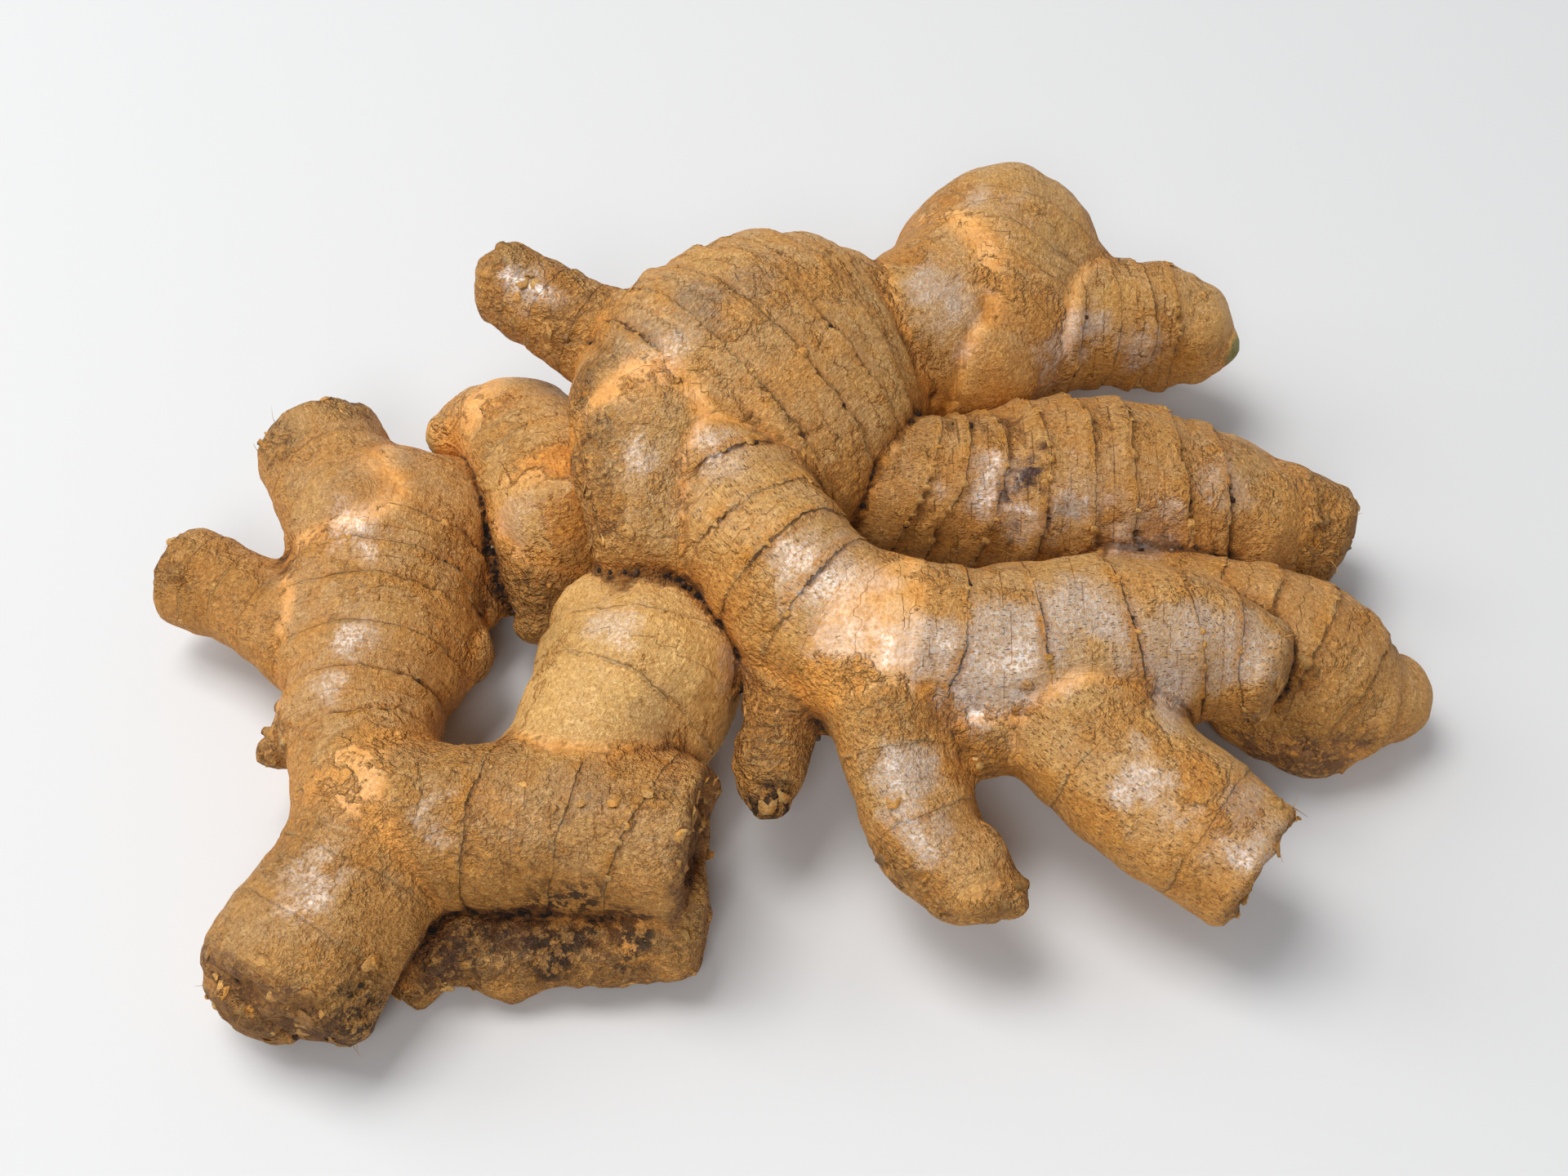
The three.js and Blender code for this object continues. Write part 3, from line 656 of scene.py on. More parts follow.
# ---- node boards for the finishes ----
class Board:
    """Puts shader nodes on a tree and joins them up."""

    def __init__(self, tree):
        self.tree = tree

    def put(self, kind, **settings):
        node = self.tree.nodes.new(kind)
        for key, value in settings.items():
            setattr(node, key, value)
        return node

    def feed(self, socket, value):
        if isinstance(value, bpy.types.NodeSocket):
            self.tree.links.new(value, socket)
        elif value is not None:
            socket.default_value = value

    def sums(self, operation, a, b=None, c=None):
        node = self.put("ShaderNodeMath", operation=operation)
        for socket, value in zip(node.inputs, (a, b, c)):
            self.feed(socket, value)
        return node.outputs[0]

    def times(self, *values):
        total = values[0]
        for value in values[1:]:
            total = self.sums("MULTIPLY", total, value)
        return total

    def add(self, *values):
        total = values[0]
        for value in values[1:]:
            total = self.sums("ADD", total, value)
        return total

    def between(self, value, low, high, to_low=0.0, to_high=1.0):
        node = self.put("ShaderNodeMapRange", interpolation_type="SMOOTHSTEP")
        keys = ("Value", "From Min", "From Max", "To Min", "To Max")
        for key, number in zip(keys, (value, low, high, to_low, to_high)):
            self.feed(node.inputs[key], number)
        return node.outputs["Result"]

    def blend(self, share, a, b, kind="MIX"):
        node = self.put("ShaderNodeMix", data_type="RGBA", blend_type=kind)
        self.feed(node.inputs[0], share)
        self.feed(node.inputs[6], a)
        self.feed(node.inputs[7], b)
        return node.outputs[2]

    def paint(self, colour, *coats):
        """Coats laid over a colour in turn, each a colour and the shares whose product says how strongly."""
        for over, *shares in coats:
            colour = self.blend(self.times(*shares), colour, over)
        return colour

    def noise(self, place, scale, detail=3.0, roughness=0.55, distortion=0.0):
        node = self.put("ShaderNodeTexNoise")
        self.feed(node.inputs["Vector"], place)
        node.inputs["Scale"].default_value = scale
        node.inputs["Detail"].default_value = detail
        node.inputs["Roughness"].default_value = roughness
        node.inputs["Distortion"].default_value = distortion
        return node.outputs["Fac"]

    def cells(self, place, scale):
        node = self.put("ShaderNodeTexVoronoi", feature="F1")
        self.feed(node.inputs["Vector"], place)
        node.inputs["Scale"].default_value = scale
        return node.outputs["Distance"], node.outputs["Color"]

    def stretch(self, place, by):
        node = self.put("ShaderNodeVectorMath", operation="MULTIPLY")
        self.feed(node.inputs[0], place)
        node.inputs[1].default_value = by
        return node.outputs[0]

    def value(self, name):
        return self.put("ShaderNodeAttribute", attribute_name=name).outputs["Fac"]

    def vector(self, name):
        return self.put("ShaderNodeAttribute", attribute_name=name).outputs["Vector"]


def new_group(name, outputs, number=None):
    """An empty node group that takes a place, and a number where one is named, and gives values."""
    group = bpy.data.node_groups.new(name, "ShaderNodeTree")
    group.interface.new_socket("Place", in_out="INPUT", socket_type="NodeSocketVector")
    if number:
        group.interface.new_socket(number, in_out="INPUT", socket_type="NodeSocketFloat")
    for key in outputs:
        group.interface.new_socket(key, in_out="OUTPUT", socket_type="NodeSocketFloat")
    return Board(group), group.nodes.new("NodeGroupInput").outputs, group.nodes.new("NodeGroupOutput").inputs


def fibre_group():
    """Leathery wrinkles and fibres of the dry skin, and the short dark dashes that run along a finger."""
    b, given, result = new_group("ginger_fibres", ("Height", "Tone", "Dash"))
    place = given["Place"]
    wrinkle = b.noise(b.stretch(place, (1.0, 0.75, 0.75)), 1.3, 4.0, 0.6, 0.2)
    long_grain = b.noise(b.stretch(place, (0.4, 1.2, 1.2)), 1.5, 3.0, 0.6)
    crease = b.between(b.sums("ABSOLUTE", b.sums("SUBTRACT", wrinkle, 0.5)), 0.0, 0.045)
    grit = b.noise(place, 3.6, 3.0, 0.7)
    height = b.add(b.times(wrinkle, 1.1), b.times(long_grain, 0.5), b.times(crease, 0.1), b.times(grit, 0.45))
    b.feed(result["Height"], height)
    b.feed(result["Tone"], b.add(b.times(long_grain, 0.2), b.times(grit, 0.6), b.times(wrinkle, 0.2)))
    distance, chance = b.cells(b.stretch(place, (0.75, 2.4, 2.4)), 1.0)
    b.feed(result["Dash"], b.times(b.between(distance, 0.30, 0.16), b.between(chance, 0.35, 0.5)))
    return b.tree


def blotch_group():
    """Soft uneven blotches of several sizes."""
    b, given, result = new_group("ginger_blotches", ("Broad", "Middle", "Small"))
    b.feed(result["Broad"], b.noise(given["Place"], 42.0, 3.0, 0.55, 0.5))
    b.feed(result["Middle"], b.noise(given["Place"], 150.0, 4.0, 0.62, 0.6))
    b.feed(result["Small"], b.noise(given["Place"], 700.0, 3.0, 0.65, 0.3))
    return b.tree


def crust_group():
    """Where the thin outer crust still sits: its patches, the torn line round them and its crumbly grain."""
    b, given, result = new_group("ginger_crust", ("Mask", "Edge", "Grain"), "Amount")
    place = given["Place"]
    field = b.add(b.times(b.noise(place, 52.0, 6.0, 0.62, 0.5), 0.7),
                  b.times(b.noise(place, 420.0, 3.0, 0.68, 0.4), 0.3))
    over = b.sums("SUBTRACT", field, b.sums("MULTIPLY_ADD", given["Amount"], -0.20, 0.60))
    b.feed(result["Mask"], b.between(over, -0.04, 0.04))
    b.feed(result["Edge"], b.between(b.sums("ABSOLUTE", over), 0.013, 0.002))
    b.feed(result["Grain"], b.noise(place, 900.0, 2.0, 0.62))
    return b.tree


def plate_group():
    """Little plates that dry bark splits into: the split round each one, its pale lip and how far it lifts."""
    b, given, result = new_group("bark_plates", ("Split", "Lip", "Lift"), "Size")
    warp = b.put("ShaderNodeTexNoise")
    b.feed(warp.inputs["Vector"], given["Place"])
    warp.inputs["Scale"].default_value = 260.0
    warp.inputs["Detail"].default_value = 5.0
    bent = b.put("ShaderNodeVectorMath", operation="MULTIPLY_ADD")
    b.feed(bent.inputs[0], warp.outputs["Color"])
    b.feed(bent.inputs[1], (0.008, 0.008, 0.008))
    b.feed(bent.inputs[2], given["Place"])
    edge = b.put("ShaderNodeTexVoronoi", feature="DISTANCE_TO_EDGE")
    cell = b.put("ShaderNodeTexVoronoi", feature="F1")
    for node in (edge, cell):
        b.feed(node.inputs["Vector"], bent.outputs[0])
        b.feed(node.inputs["Scale"], given["Size"])
    broken = b.between(b.noise(given["Place"], 380.0, 3.0, 0.6), 0.47, 0.58)
    from_edge = edge.outputs["Distance"]
    b.feed(result["Split"], b.times(b.between(from_edge, 0.06, 0.015), broken))
    b.feed(result["Lip"], b.times(b.between(from_edge, 0.30, 0.12), b.between(from_edge, 0.05, 0.10)))
    b.feed(result["Lift"], cell.outputs["Color"])
    return b.tree


TAN = (0.92, 0.440, 0.100, 1)
PALE = (0.92, 0.530, 0.155, 1)
SILVER_AND_SHEEN = (0.86, 0.530, 0.225, 1)
OCHRE = (0.88, 0.370, 0.045, 1)
RUST = (0.56, 0.190, 0.024, 1)
BROWN = (0.58, 0.240, 0.044, 1)
GREY = (0.44, 0.330, 0.225, 1)
PAINTED_HIGHLIGHT = (1.0, 0.780, 0.600, 1)
PLUM_AND_SHADE = (0.105, 0.046, 0.030, 1)
SOIL = (0.085, 0.034, 0.010, 1)
DEEP_SOIL = (0.018, 0.009, 0.005, 1)
PAPER = (0.66, 0.44, 0.19, 1)
GREEN_BUD = (0.42, 0.37, 0.11, 1)
SCAR_BROWN = (0.25, 0.112, 0.045, 1)
SMOOTH_SKIN = (0.92, 0.590, 0.205, 1)
SEAM_BROWN = (0.60, 0.260, 0.046, 1)
PIT_BROWN = (0.34, 0.135, 0.030, 1)
SPLIT_BROWN = (0.17, 0.070, 0.020, 1)
DASH_BROWN = (0.12, 0.05, 0.018, 1)
FLAKE_BROWN = (0.22, 0.10, 0.035, 1)
PALE_GRAIN = (0.34, 0.27, 0.19, 1)
LOW_SHADE = (0.92, 0.80, 0.66, 1)
HIGH_SHADE = (1.24, 1.22, 1.22, 1)
BARE_ROUGHNESS = (0.50, 0.50, 0.50, 1)
CRUST_ROUGHNESS = (0.64, 0.64, 0.64, 1)
TABLE_DARK = (0.74, 0.75, 0.76, 1)
TABLE_LIGHT = (0.77, 0.775, 0.78, 1)


def use_group(b, group, **given):
    node = b.put("ShaderNodeGroup", node_tree=group)
    for key, value in given.items():
        b.feed(node.inputs[key], value)
    return node.outputs


def new_material(name):
    material = bpy.data.materials.new(name)
    material.use_nodes = True
    material.node_tree.nodes.clear()
    b = Board(material.node_tree)
    shader = b.put("ShaderNodeBsdfPrincipled")
    out = b.put("ShaderNodeOutputMaterial")
    b.feed(out.inputs["Surface"], shader.outputs["BSDF"])
    return material, b, shader


def set_bump(b, shader, height, strength, distance):
    """Fine relief on the shader's normal."""
    bump = b.put("ShaderNodeBump")
    bump.inputs["Strength"].default_value = strength
    bump.inputs["Distance"].default_value = distance
    b.feed(bump.inputs["Height"], height)
    b.feed(shader.inputs["Normal"], bump.outputs["Normal"])


def ginger_skin(fibres, blotches, crusts, plates):
    """Thin dry skin: silvery tan under a torn ochre crust, cracked at the scars, soil in the hollows; with a painted
    highlight on silvery patches, painted sheen on tops and painted shade on the sides, in low relief, past each scar's
    step and in a few marked places.
    """
    material, b, shader = new_material("ginger_skin")
    world = b.put("ShaderNodeTexCoord").outputs["Object"]
    fibre = use_group(b, fibres, Place=b.vector("skin_map"))
    blotch = use_group(b, blotches, Place=world)

    def middle(*limits):
        return b.between(blotch["Middle"], *limits)

    def small(*limits):
        return b.between(blotch["Small"], *limits)

    gap, hollow, proud, valley, top = (b.value(key) for key in ("ring_gap", "hollow", "proud", "valley", "top"))
    bark, smooth, rust, silver_and_highlight = (b.value(key) for key in ("bark", "smooth", "rust", "silver_and_highlight"))
    lay = b.times(b.value("clear"), b.sums("MULTIPLY_ADD", smooth, -0.35, 1.0))
    amount = b.add(b.value("crust"), b.times(rust, 0.7), b.times(silver_and_highlight, -0.6), b.times(smooth, -0.2),
                   b.times(top, -0.5), b.times(valley, 0.6))
    crust = use_group(b, crusts, Place=world, Amount=b.add(amount, 0.3))

    bare = b.blend(b.between(blotch["Broad"], 0.38, 0.62), TAN, PALE)
    bare = b.paint(
        bare,
        # Painted sheen: tops paler silver. Painted shade: sides deeper ochre.
        (SILVER_AND_SHEEN, top, middle(0.36, 0.62, 0.2, 0.85)),
        (OCHRE, b.between(top, 0.75, 0.1), middle(0.36, 0.6, 0.2, 0.75)),
        # Silvery marks painted paler, partly silvery skin and partly a painted sheen.
        (SILVER_AND_SHEEN, silver_and_highlight, 0.6),
        (SMOOTH_SKIN, smooth, 0.6))
    crusty = b.blend(middle(0.40, 0.66), TAN, OCHRE)
    crusty = b.paint(
        crusty,
        (RUST, b.between(crust["Grain"], 0.52, 0.34, 0.0, 0.5)),
        (PALE, b.between(crust["Grain"], 0.54, 0.66, 0.0, 0.45)))
    colour = b.blend(b.times(crust["Mask"], 0.65), bare, crusty)
    seam = b.times(b.sums("SUBTRACT", 1.0, b.value("clear")), middle(0.35, 0.6, 0.85, 0.45))
    colour = b.paint(colour, (SEAM_BROWN, seam))
    grains = b.between(b.noise(world, 1500.0, 2.0, 0.6), 0.38, 0.60)
    # Painted highlight: pale film colour laid grain by grain on the silvery marks.
    painted_highlight = b.times(b.between(crust["Mask"], 0.0, 1.0, 1.0, 0.35), silver_and_highlight,
                         b.sums("MULTIPLY_ADD", grains, 0.4, 0.6))
    colour = b.paint(
        colour,
        (PAINTED_HIGHLIGHT, painted_highlight),
        (OCHRE, b.value("ochre"), middle(0.38, 0.6, 0.9, 0.5)))
    orange = b.blend(small(0.42, 0.58), RUST, OCHRE)
    colour = b.paint(
        colour,
        (orange, rust, middle(0.35, 0.6, 0.95, 0.6)),
        (BROWN, b.value("worn"), middle(0.35, 0.65, 1.0, 0.6)),
        (GREY, b.value("grey"), small(0.35, 0.6, 0.9, 0.55)),
        (RUST, lay, b.between(fibre["Tone"], 0.50, 0.34, 0.0, 0.6)),
        (PAPER, lay, b.between(fibre["Tone"], 0.54, 0.68, 0.0, 0.45)),
        (PALE, proud, 0.35),
        (RUST, crust["Edge"], 0.07))
    dull = b.sums("MULTIPLY_ADD", silver_and_highlight, -0.7, 1.0)
    pits = b.add(b.times(fibre["Height"], 0.6), b.times(b.noise(world, 1100.0, 2.0, 0.7), 0.9))
    colour = b.paint(colour, (PIT_BROWN, dull, b.between(pits, 1.10, 0.76, 0.0, 0.6)))

    ragged = b.add(gap, b.times(b.sums("SUBTRACT", b.noise(world, 1000.0, 2.0, 0.65), 0.5), 0.8))
    paper = b.times(b.between(ragged, -0.9, -0.25), b.between(ragged, 0.05, -0.05), middle(0.42, 0.60))
    colour = b.paint(colour, (PAPER, paper, 0.6))
    rim = b.times(b.between(ragged, -2.6, -0.7), b.between(ragged, 0.1, -0.1), b.value("crack"))
    colour = b.paint(colour, (OCHRE, rim, middle(0.62, 0.42, 0.35, 1.0)))
    # Soil, and a painted shadow, in a band just past each scar's step.
    soil_and_step_shadow = b.times(b.between(ragged, -0.1, 0.2), b.between(ragged, 1.8, 0.4), small(0.34, 0.6, 0.3, 0.8))
    colour = b.paint(colour, (RUST, soil_and_step_shadow, b.value("crack"), 0.75))
    crack = b.times(b.between(ragged, -0.08, 0.0), b.between(ragged, 0.30, 0.12), b.value("crack"))
    colour = b.paint(colour, (SOIL, crack))

    plate = use_group(b, plates, Place=world, Size=300.0)
    split_here = b.add(b.times(bark, 1.1), b.times(b.value("worn"), 0.35), b.times(crust["Mask"], 0.15),
                       b.times(silver_and_highlight, -0.4))
    split_here = b.times(b.between(split_here, 0.05, 0.75), middle(0.38, 0.58, 0.25, 1.0), small(0.35, 0.5, 0.3, 1.0))
    colour = b.paint(
        colour,
        (OCHRE, split_here, b.between(plate["Lift"], 0.2, 0.8, 0.0, 0.55)),
        (PAPER, split_here, plate["Lip"], 0.5),
        (SPLIT_BROWN, split_here, plate["Split"], 0.7))
    dash = b.times(fibre["Dash"], b.value("dashes"), lay)
    colour = b.paint(colour, (DASH_BROWN, dash, 0.7))
    flaking = b.times(bark, b.between(crust["Grain"], 0.52, 0.40))
    colour = b.paint(colour, (FLAKE_BROWN, flaking, 0.7))
    speckle = b.between(b.noise(world, 520.0, 3.0, 0.7), 0.54, 0.46)
    colour = b.paint(
        colour,
        (DEEP_SOIL, b.value("soot"), speckle, 0.85),
        # Plum-brown spots and painted shade.
        (PLUM_AND_SHADE, b.value("plum_and_shade"), small(0.62, 0.48)),
        (RUST, valley, dull, small(0.35, 0.6, 0.75, 0.45)))
    dirt = b.add(b.times(hollow, 0.8), b.times(valley, dull, 0.5),
                 b.times(b.sums("SUBTRACT", blotch["Small"], 0.5), 1.2))
    colour = b.paint(
        colour,
        (SOIL, b.between(dirt, 0.35, 0.9, 0.0, 0.6)),
        (DEEP_SOIL, b.between(dirt, 0.95, 1.35)))
    relief = b.add(b.times(fibre["Height"], 0.75), b.times(b.noise(world, 1900.0, 2.0, 0.7), 0.5))
    shade = b.blend(b.between(relief, 0.82, 1.26), LOW_SHADE, HIGH_SHADE)
    colour = b.blend(1.0, colour, shade, "MULTIPLY")
    scar = b.value("scar")
    colour = b.paint(
        colour,
        (SCAR_BROWN, scar, small(0.35, 0.6, 0.9, 0.4)),
        (GREEN_BUD, b.value("bud")))
    b.feed(shader.inputs["Base Color"], colour)

    rough = b.blend(crust["Mask"], BARE_ROUGHNESS, CRUST_ROUGHNESS)
    rough = b.add(rough, b.times(hollow, 0.3), b.times(valley, 0.2), b.times(b.value("worn"), 0.12),
                  b.times(bark, 0.12), b.times(scar, 0.12), b.times(silver_and_highlight, -0.05))
    b.feed(shader.inputs["Roughness"], b.sums("MINIMUM", rough, 0.95))
    glint = b.times(b.sums("MULTIPLY_ADD", grains, 1.1, 0.15), b.between(fibre["Height"], 0.75, 1.35, 0.45, 1.1))
    film = b.times(b.between(crust["Mask"], 0.0, 1.0, 1.0, 0.3), b.between(top, 0.3, 0.9, 0.1, 1.0),
                   b.between(b.value("worn"), 0.0, 0.6, 1.0, 0.35), b.between(dirt, 0.3, 0.8, 1.0, 0.0))
    film = b.add(b.times(film, 0.06), b.times(silver_and_highlight, b.between(crust["Mask"], 0.0, 1.0, 0.75, 0.3)))
    b.feed(shader.inputs["Coat Weight"], b.sums("MINIMUM", b.times(film, glint), 1.0))
    shader.inputs["Coat Roughness"].default_value = 0.40
    shader.inputs["Coat IOR"].default_value = 3.0
    shader.inputs["Specular IOR Level"].default_value = 0.38
    shader.inputs["IOR"].default_value = 1.5

    crumbly = b.times(crust["Grain"], b.add(b.times(crust["Mask"], 1.1), 0.3))
    lift = b.add(b.times(fibre["Height"], lay), crumbly, b.times(crust["Mask"], 0.45))
    lift = b.add(lift, b.times(paper, 0.8), b.times(crack, -2.6), b.times(dash, -0.6))
    lift = b.add(lift, b.times(bark, b.between(crust["Grain"], 0.45, 0.6), 1.6))
    plate_lift = b.add(b.times(plate["Lift"], 1.3), b.times(plate["Split"], -1.2), b.times(plate["Lip"], 0.3))
    lift = b.add(lift, b.times(split_here, plate_lift))
    set_bump(b, shader, lift, 1.0, 0.00135)
    return material


def papery_scale(fibres, blotches):
    """Torn edges of the leaf scales and curled bark: paler, drier and thinner than the skin."""
    material, b, shader = new_material("papery_scale")
    world = b.put("ShaderNodeTexCoord").outputs["Object"]
    fibre = use_group(b, fibres, Place=b.stretch(world, (1000, 1000, 1000)))
    blotch = use_group(b, blotches, Place=world)
    colour = b.blend(b.between(blotch["Middle"], 0.38, 0.62), TAN, PALE)
    colour = b.paint(
        colour,
        (OCHRE, b.between(blotch["Small"], 0.46, 0.66, 0.0, 0.8)),
        (SOIL, b.between(fibre["Tone"], 0.6, 0.38, 0.0, 0.6)),
        (SOIL, b.value("shade")))
    b.feed(shader.inputs["Base Color"], colour)
    b.feed(shader.inputs["Roughness"], b.between(blotch["Small"], 0.3, 0.7, 0.55, 0.8))
    set_bump(b, shader, fibre["Height"], 0.8, 0.0003)
    return material


def soil_crumb(blotches):
    """Dried soil left in the creases: near black with brown and a few pale grains."""
    material, b, shader = new_material("soil_crumb")
    world = b.put("ShaderNodeTexCoord").outputs["Object"]
    blotch = use_group(b, blotches, Place=world)
    grain = b.noise(world, 1900.0, 2.0, 0.7)
    colour = b.blend(b.between(blotch["Small"], 0.40, 0.62), DEEP_SOIL, SOIL)
    colour = b.blend(b.between(b.value("shade"), 0.80, 0.86), colour, PALE_GRAIN)
    b.feed(shader.inputs["Base Color"], colour)
    b.feed(shader.inputs["Roughness"], b.between(grain, 0.3, 0.7, 0.75, 0.95))
    set_bump(b, shader, grain, 1.0, 0.0004)
    return material


def pale_table():
    """Smooth matt table top."""
    material, b, shader = new_material("pale_table")
    world = b.put("ShaderNodeTexCoord").outputs["Object"]
    tone = b.noise(world, 2.0, 2.0)
    b.feed(shader.inputs["Base Color"], b.blend(tone, TABLE_DARK, TABLE_LIGHT))
    shader.inputs["Roughness"].default_value = 0.7
    shader.inputs["Specular IOR Level"].default_value = 0.2
    return material


# ---- small loose forms: flakes, hairs and crumbs ----
def outward(verts, faces):
    """Faces turned so that one closed form's normals point out."""
    volume = sum(np.dot(verts[f[0]], np.cross(verts[f[1]], verts[f[2]]))
                 + np.dot(verts[f[0]], np.cross(verts[f[2]], verts[f[3]])) for f in faces)
    return np.array(faces) if volume > 0 else np.array([f[::-1] for f in faces])


def repeated(verts, faces):
    """Many copies of one face list, one for each block of points."""
    count, each = verts.shape[:2]
    faces = outward(verts[0], faces)
    return verts.reshape(-1, 3), (faces[None] + (np.arange(count) * each)[:, None, None]).reshape(-1, 4)


def flakes(base, n, t, half, reach, lift, thick):
    """Thin ragged tongues rooted in the skin, their free ends lifted; n and t are unit vectors."""
    w = np.cross(t, n)
    count = len(base)
    half, reach, lift = (np.asarray(v)[:, None] for v in (half, reach, lift))
    rows = []
    for step, (out, up, narrow) in enumerate(FLAKE_ROWS):
        for side in (-1, 0, 1):
            jag = RNG.uniform(-0.3, 0.3, (count, 1)) * (step > 0)
            sag = 0.25 * lift * (side != 0) * (step > 1)
            spot = base + t * reach * (out + jag * 0.6) + w * half * (side * narrow + jag * 0.5)
            rows.append(spot + n * (lift * up - sag))
    top = np.stack(rows, 1)
    bottom = top - n[:, None, :] * thick
    top_faces = [(r * 3 + c, r * 3 + c + 1, r * 3 + c + 4, r * 3 + c + 3) for r in range(3) for c in range(2)]
    bottom_faces = [tuple(12 + v for v in reversed(f)) for f in top_faces]
    rim = [0, 3, 6, 9, 10, 11, 8, 5, 2, 1]
    side_faces = [(rim[i], rim[(i + 1) % 10], 12 + rim[(i + 1) % 10], 12 + rim[i]) for i in range(10)]
    return repeated(np.concatenate([top, bottom], 1), top_faces + bottom_faces + side_faces)


def hairs(root, n, bend, length, thick):
    """Tapered curved strands; root, n and bend are one row for each strand."""
    length, thick = np.asarray(length)[:, None], np.asarray(thick)[:, None]
    across = unit(np.cross(n, bend))
    up = np.cross(across, n)
    blocks = []
    sides, rings = HAIR_SIDES, HAIR_RINGS
    for k in range(rings):
        u = k / (rings - 1)
        spine = root + n * length * (u - 0.08) + bend * length * 0.5 * u * u
        fat = thick * (1 - 0.75 * u)
        for j in range(sides):
            turn = 2 * math.pi * j / sides
            blocks.append(spine + across * fat * math.cos(turn) + up * fat * math.sin(turn))
    faces = [(k * sides + j, k * sides + (j + 1) % sides, (k + 1) * sides + (j + 1) % sides, (k + 1) * sides + j)
             for k in range(rings - 1) for j in range(sides)]
    for end, order in ((0, -1), ((rings - 1) * sides, 1)):
        for i in range(sides // 2 - 1):
            faces.append(tuple(end + v for v in (i, i + 1, sides - 2 - i, sides - 1 - i)[::order]))
    return repeated(np.stack(blocks, 1), faces)


def crumbs(centre, size, seed):
    """Small rough lumps from a rounded cube of 26 points."""
    spots = [(x, y, z) for x in (-1, 0, 1) for y in (-1, 0, 1) for z in (-1, 0, 1) if (x, y, z) != (0, 0, 0)]
    number = {spot: i for i, spot in enumerate(spots)}
    faces = []
    for axis in range(3):
        u, v = (axis + 1) % 3, (axis + 2) % 3
        for side in (-1, 1):
            for a in (-1, 0):
                for c in (-1, 0):
                    quad = []
                    for da, dc in ((0, 0), (1, 0), (1, 1), (0, 1)):
                        spot = [0, 0, 0]
                        spot[axis], spot[u], spot[v] = side, a + da, c + dc
                        quad.append(number[tuple(spot)])
                    faces.append(tuple(quad[::side]))
    shape = np.array(spots, float)
    shape /= np.linalg.norm(shape, axis=1)[:, None] ** 0.8
    rng = np.random.default_rng(seed)
    squash = rng.uniform(0.6, 1.2, (len(centre), 1, 3))
    rough = rng.uniform(0.75, 1.2, (len(centre), CRUMB_POINTS, 1))
    return repeated(centre[:, None] + shape[None] * squash * rough * np.asarray(size)[:, None, None], faces)


def joined(parts):
    """Several sets of points and faces as one."""
    verts, faces, shift = [], [], 0
    for v, f in parts:
        verts.append(v)
        faces.append(f + shift)
        shift += len(v)
    return np.vstack(verts), np.vstack(faces)


def flat_on(t, n):
    """Unit vectors t laid into the surface whose normals are n."""
    return unit(t - n * dots(t, n)[:, None])


def grow_scales(skin, material):
    """Small torn scale edges here and there along the scars."""
    at_scar = (skin.signed < 0) & (skin.signed > -0.3) & (skin.clear > 0.6)
    crest = (at_scar & (skin.points[:, 2] > TABLE_GAP)).nonzero()[0]
    luck = 0.9 * lattice_noise(skin.points[crest], 3.0, 77) + 0.4 * RNG.standard_normal(len(crest))
    crest = crest[luck > 1.05 - 1.9 * skin.looks["fringe"][crest]]
    n, t = skin.normal[crest], flat_on(skin.axis[crest], skin.normal[crest])
    count = len(crest)
    part = flakes(skin.points[crest], n, t, RNG.uniform(0.3, 0.9, count), RNG.uniform(0.4, 1.1, count),
                  RNG.uniform(0.05, 0.4, count), 0.13)
    shade = np.repeat(RNG.uniform(0, 0.35, count), FLAKE_POINTS)
    return make_piece("papery_scales", *part, material, floats={"shade": shade})


def grow_bark(skin, material):
    """Curled bits of bark where the skin is peeling: a few big ones at torn edges and many small ones."""
    chance = skin.looks["bark"] ** 1.5 * 0.02 + skin.looks["scar"] * 0.02
    chosen = ((RNG.random(len(chance)) < chance) & (skin.points[:, 2] > TABLE_GAP)).nonzero()[0]
    n = skin.normal[chosen]
    count = len(chosen)
    t = flat_on(skin.axis[chosen] + 0.9 * RNG.standard_normal((count, 3)), n)
    small = flakes(skin.points[chosen], n, t, RNG.uniform(0.4, 1.2, count), RNG.uniform(0.6, 1.8, count),
                   RNG.uniform(0.1, 0.5, count), 0.14)
    places, ways = (np.array(column, float) for column in zip(*CURLS))
    root = nearest(skin.points, places).repeat(2)
    beside = (RNG.random((len(root), 3)) - 0.5) * 5.0
    root = nearest(skin.points, skin.points[root] + beside)
    n = skin.normal[root]
    t = flat_on(ways.repeat(2, axis=0) + 0.35 * RNG.standard_normal((len(root), 3)), n)
    big = flakes(skin.points[root], n, t, RNG.uniform(0.7, 1.7, len(root)), RNG.uniform(0.8, 2.1, len(root)),
                 RNG.uniform(0.2, 0.9, len(root)), 0.22)
    shade = np.repeat(np.append(RNG.uniform(0, 0.6, count) ** 1.3, RNG.uniform(0.25, 0.75, len(root))), FLAKE_POINTS)
    return make_piece("bark_curls", *joined([small, big]), material, floats={"shade": shade})


def grow_fibres(skin, material):
    """Frayed fibres round the broken ends."""
    rim = ((skin.looks["scar"] > 0.2) & (skin.looks["scar"] < 0.6) & (skin.points[:, 2] > CENTRE[2] + 4)).nonzero()[0]
    rim = rim[RNG.random(len(rim)) < 0.10]
    count = len(rim)
    way = unit(skin.axis[rim] + 0.5 * skin.normal[rim] + 0.35 * RNG.standard_normal((count, 3)))
    bend = 0.8 * RNG.standard_normal((count, 3))
    part = hairs(skin.points[rim], way, bend, RNG.uniform(0.8, 3.0, count), RNG.uniform(0.07, 0.16, count))
    shade = np.repeat(RNG.uniform(0, 0.7, count), HAIR_SIDES * HAIR_RINGS)
    return make_piece("frayed_fibres", *part, material, floats={"shade": shade})


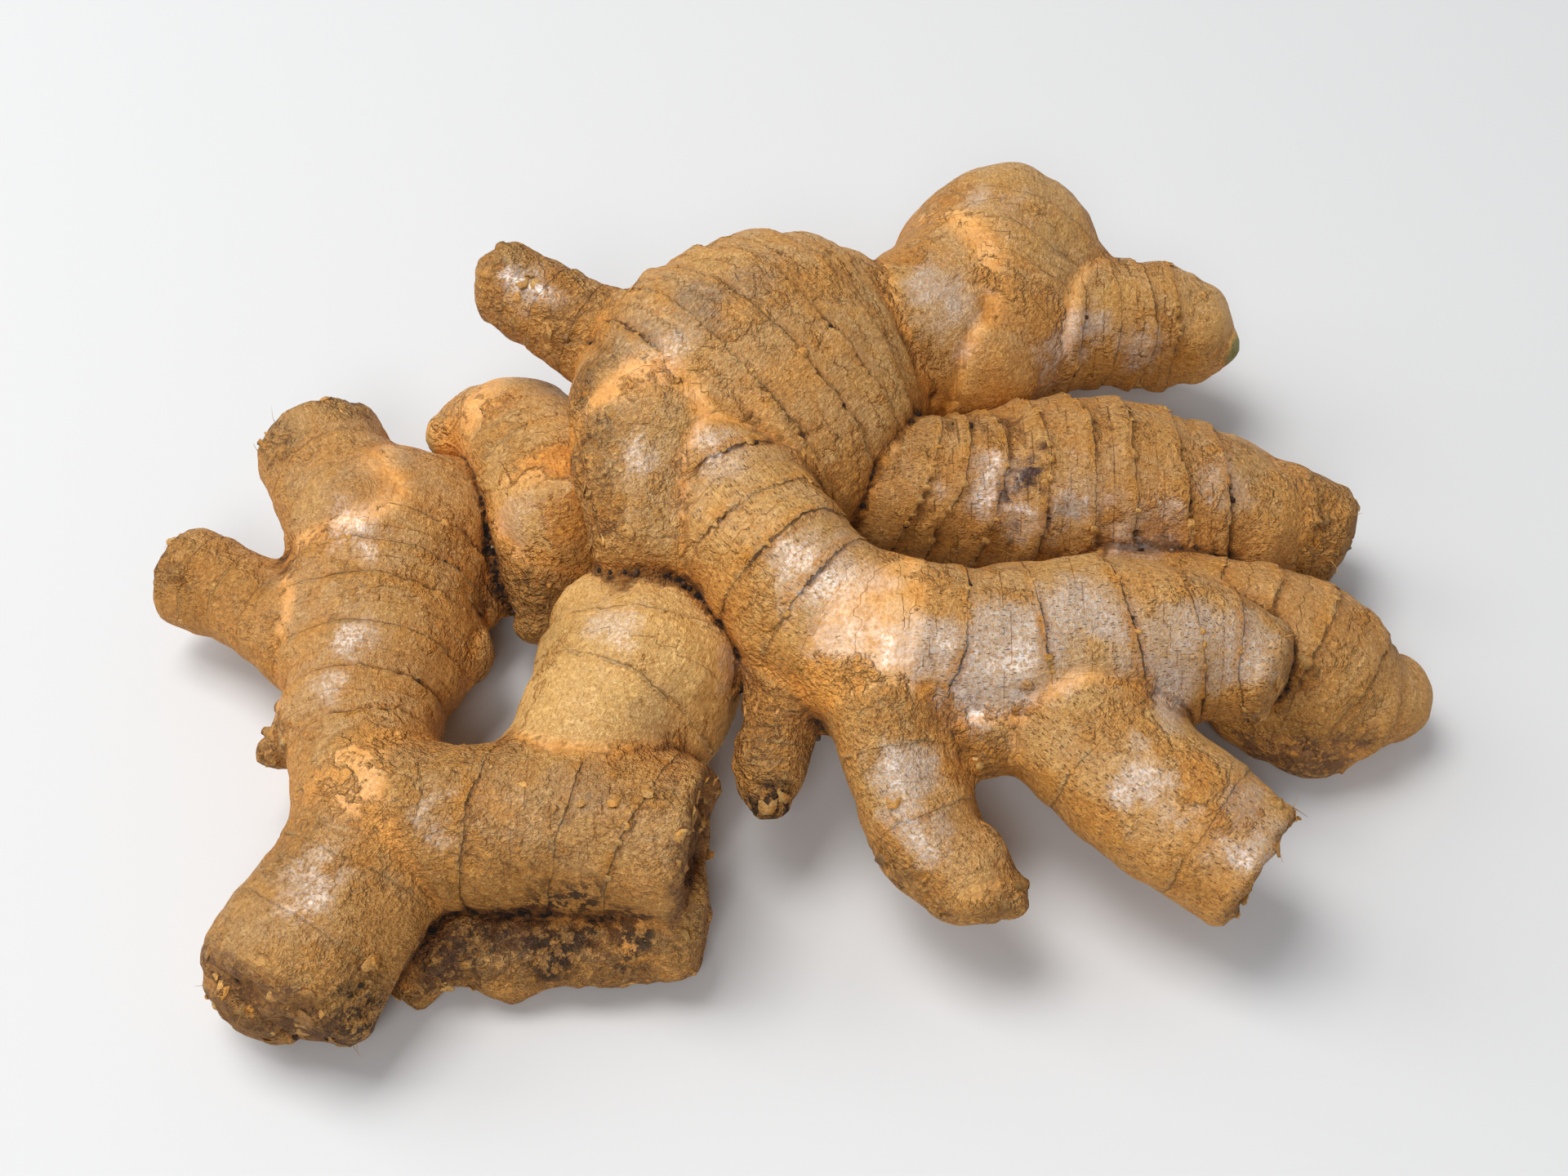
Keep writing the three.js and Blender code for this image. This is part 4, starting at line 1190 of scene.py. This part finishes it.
def grow_soil(skin, material):
    """Crumbs of dried soil caught in the deep creases."""
    deep = skin.looks["hollow"] > 0.9
    pick = (deep & (RNG.random(len(deep)) < 0.10)).nonzero()[0]
    size = RNG.uniform(0.2, 0.62, len(pick))
    part = crumbs(skin.points[pick] + skin.normal[pick] * (size * 0.3)[:, None], size, 5)
    return make_piece("soil_crumbs", *part, material, floats={"shade": np.repeat(RNG.random(len(pick)), CRUMB_POINTS)})


class Skin:
    """The grown skin and what is known about each of its points."""

    def __init__(self):
        self.points, self.quads, self.normal, self.axis, self.place, self.signed, self.clear, self.looks = grow_skin()


# ---- set up ----
fibres, blotches, crusts, plates = fibre_group(), blotch_group(), crust_group(), plate_group()
skin_finish = ginger_skin(fibres, blotches, crusts, plates)
scale_finish = papery_scale(fibres, blotches)
soil_finish = soil_crumb(blotches)

skin = Skin()
hand = make_piece("ginger_hand", skin.points, skin.quads, skin_finish,
                  floats=skin.looks, vectors={"skin_map": skin.place})
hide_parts("rhizome")
grow_scales(skin, scale_finish)
grow_bark(skin, scale_finish)
grow_fibres(skin, scale_finish)
grow_soil(skin, soil_finish)

# ---- table, light and camera ----
floor_mesh = bpy.data.meshes.new("table_top")
floor_mesh.from_pydata([(-4, -4, 0), (4, -4, 0), (4, 4, 0), (-4, 4, 0)], [], [(0, 1, 2, 3)])
floor = bpy.data.objects.new("table_top", floor_mesh)
floor_mesh.materials.append(pale_table())
bpy.context.scene.collection.objects.link(floor)


def soft_light(name, place, aim, size, power, tint):
    """A square soft box pointed at a spot."""
    data = bpy.data.lights.new(name, "AREA")
    data.shape, data.size, data.energy, data.color = "SQUARE", size, power, tint
    light = bpy.data.objects.new(name, data)
    light.location = place
    light.rotation_mode = "QUATERNION"
    light.rotation_quaternion = (Vector(aim) - Vector(place)).to_track_quat("-Z", "Y")
    bpy.context.scene.collection.objects.link(light)


soft_light("window_light", (-0.46, 0.20, 1.37), (0, 0, 0.02), 0.75, 13.1, (1.0, 0.98, 0.955))
soft_light("front_sheen", (-0.12, -1.02, 0.98), (0, 0, 0.03), 0.45, 5.8, (0.98, 0.985, 1.0))
soft_light("left_fill", (-1.1, 0.35, 0.80), (0, 0, 0.02), 0.8, 6.0, (0.98, 0.99, 1.0))

world = bpy.data.worlds.new("soft_room")
world.use_nodes = True
world.node_tree.nodes["Background"].inputs["Color"].default_value = (0.95, 0.97, 1.0, 1)
world.node_tree.nodes["Background"].inputs["Strength"].default_value = 0.25
bpy.context.scene.world = world

camera_data = bpy.data.cameras.new("camera")
camera_data.lens, camera_data.sensor_width = 50.0, 36.0
camera = bpy.data.objects.new("camera", camera_data)
elevation = math.radians(50)
target = np.array([0.0, -12.6, 23.4])
back = np.array([0.0, -math.cos(elevation), math.sin(elevation)])
camera.location = (target + back * 373.5 - CENTRE) * MM
camera.rotation_euler = (math.radians(90) - elevation, 0, 0)
camera_data.clip_start, camera_data.clip_end = 0.01, 20
bpy.context.scene.collection.objects.link(camera)
bpy.context.scene.camera = camera
bpy.context.scene.view_settings.view_transform = "Standard"
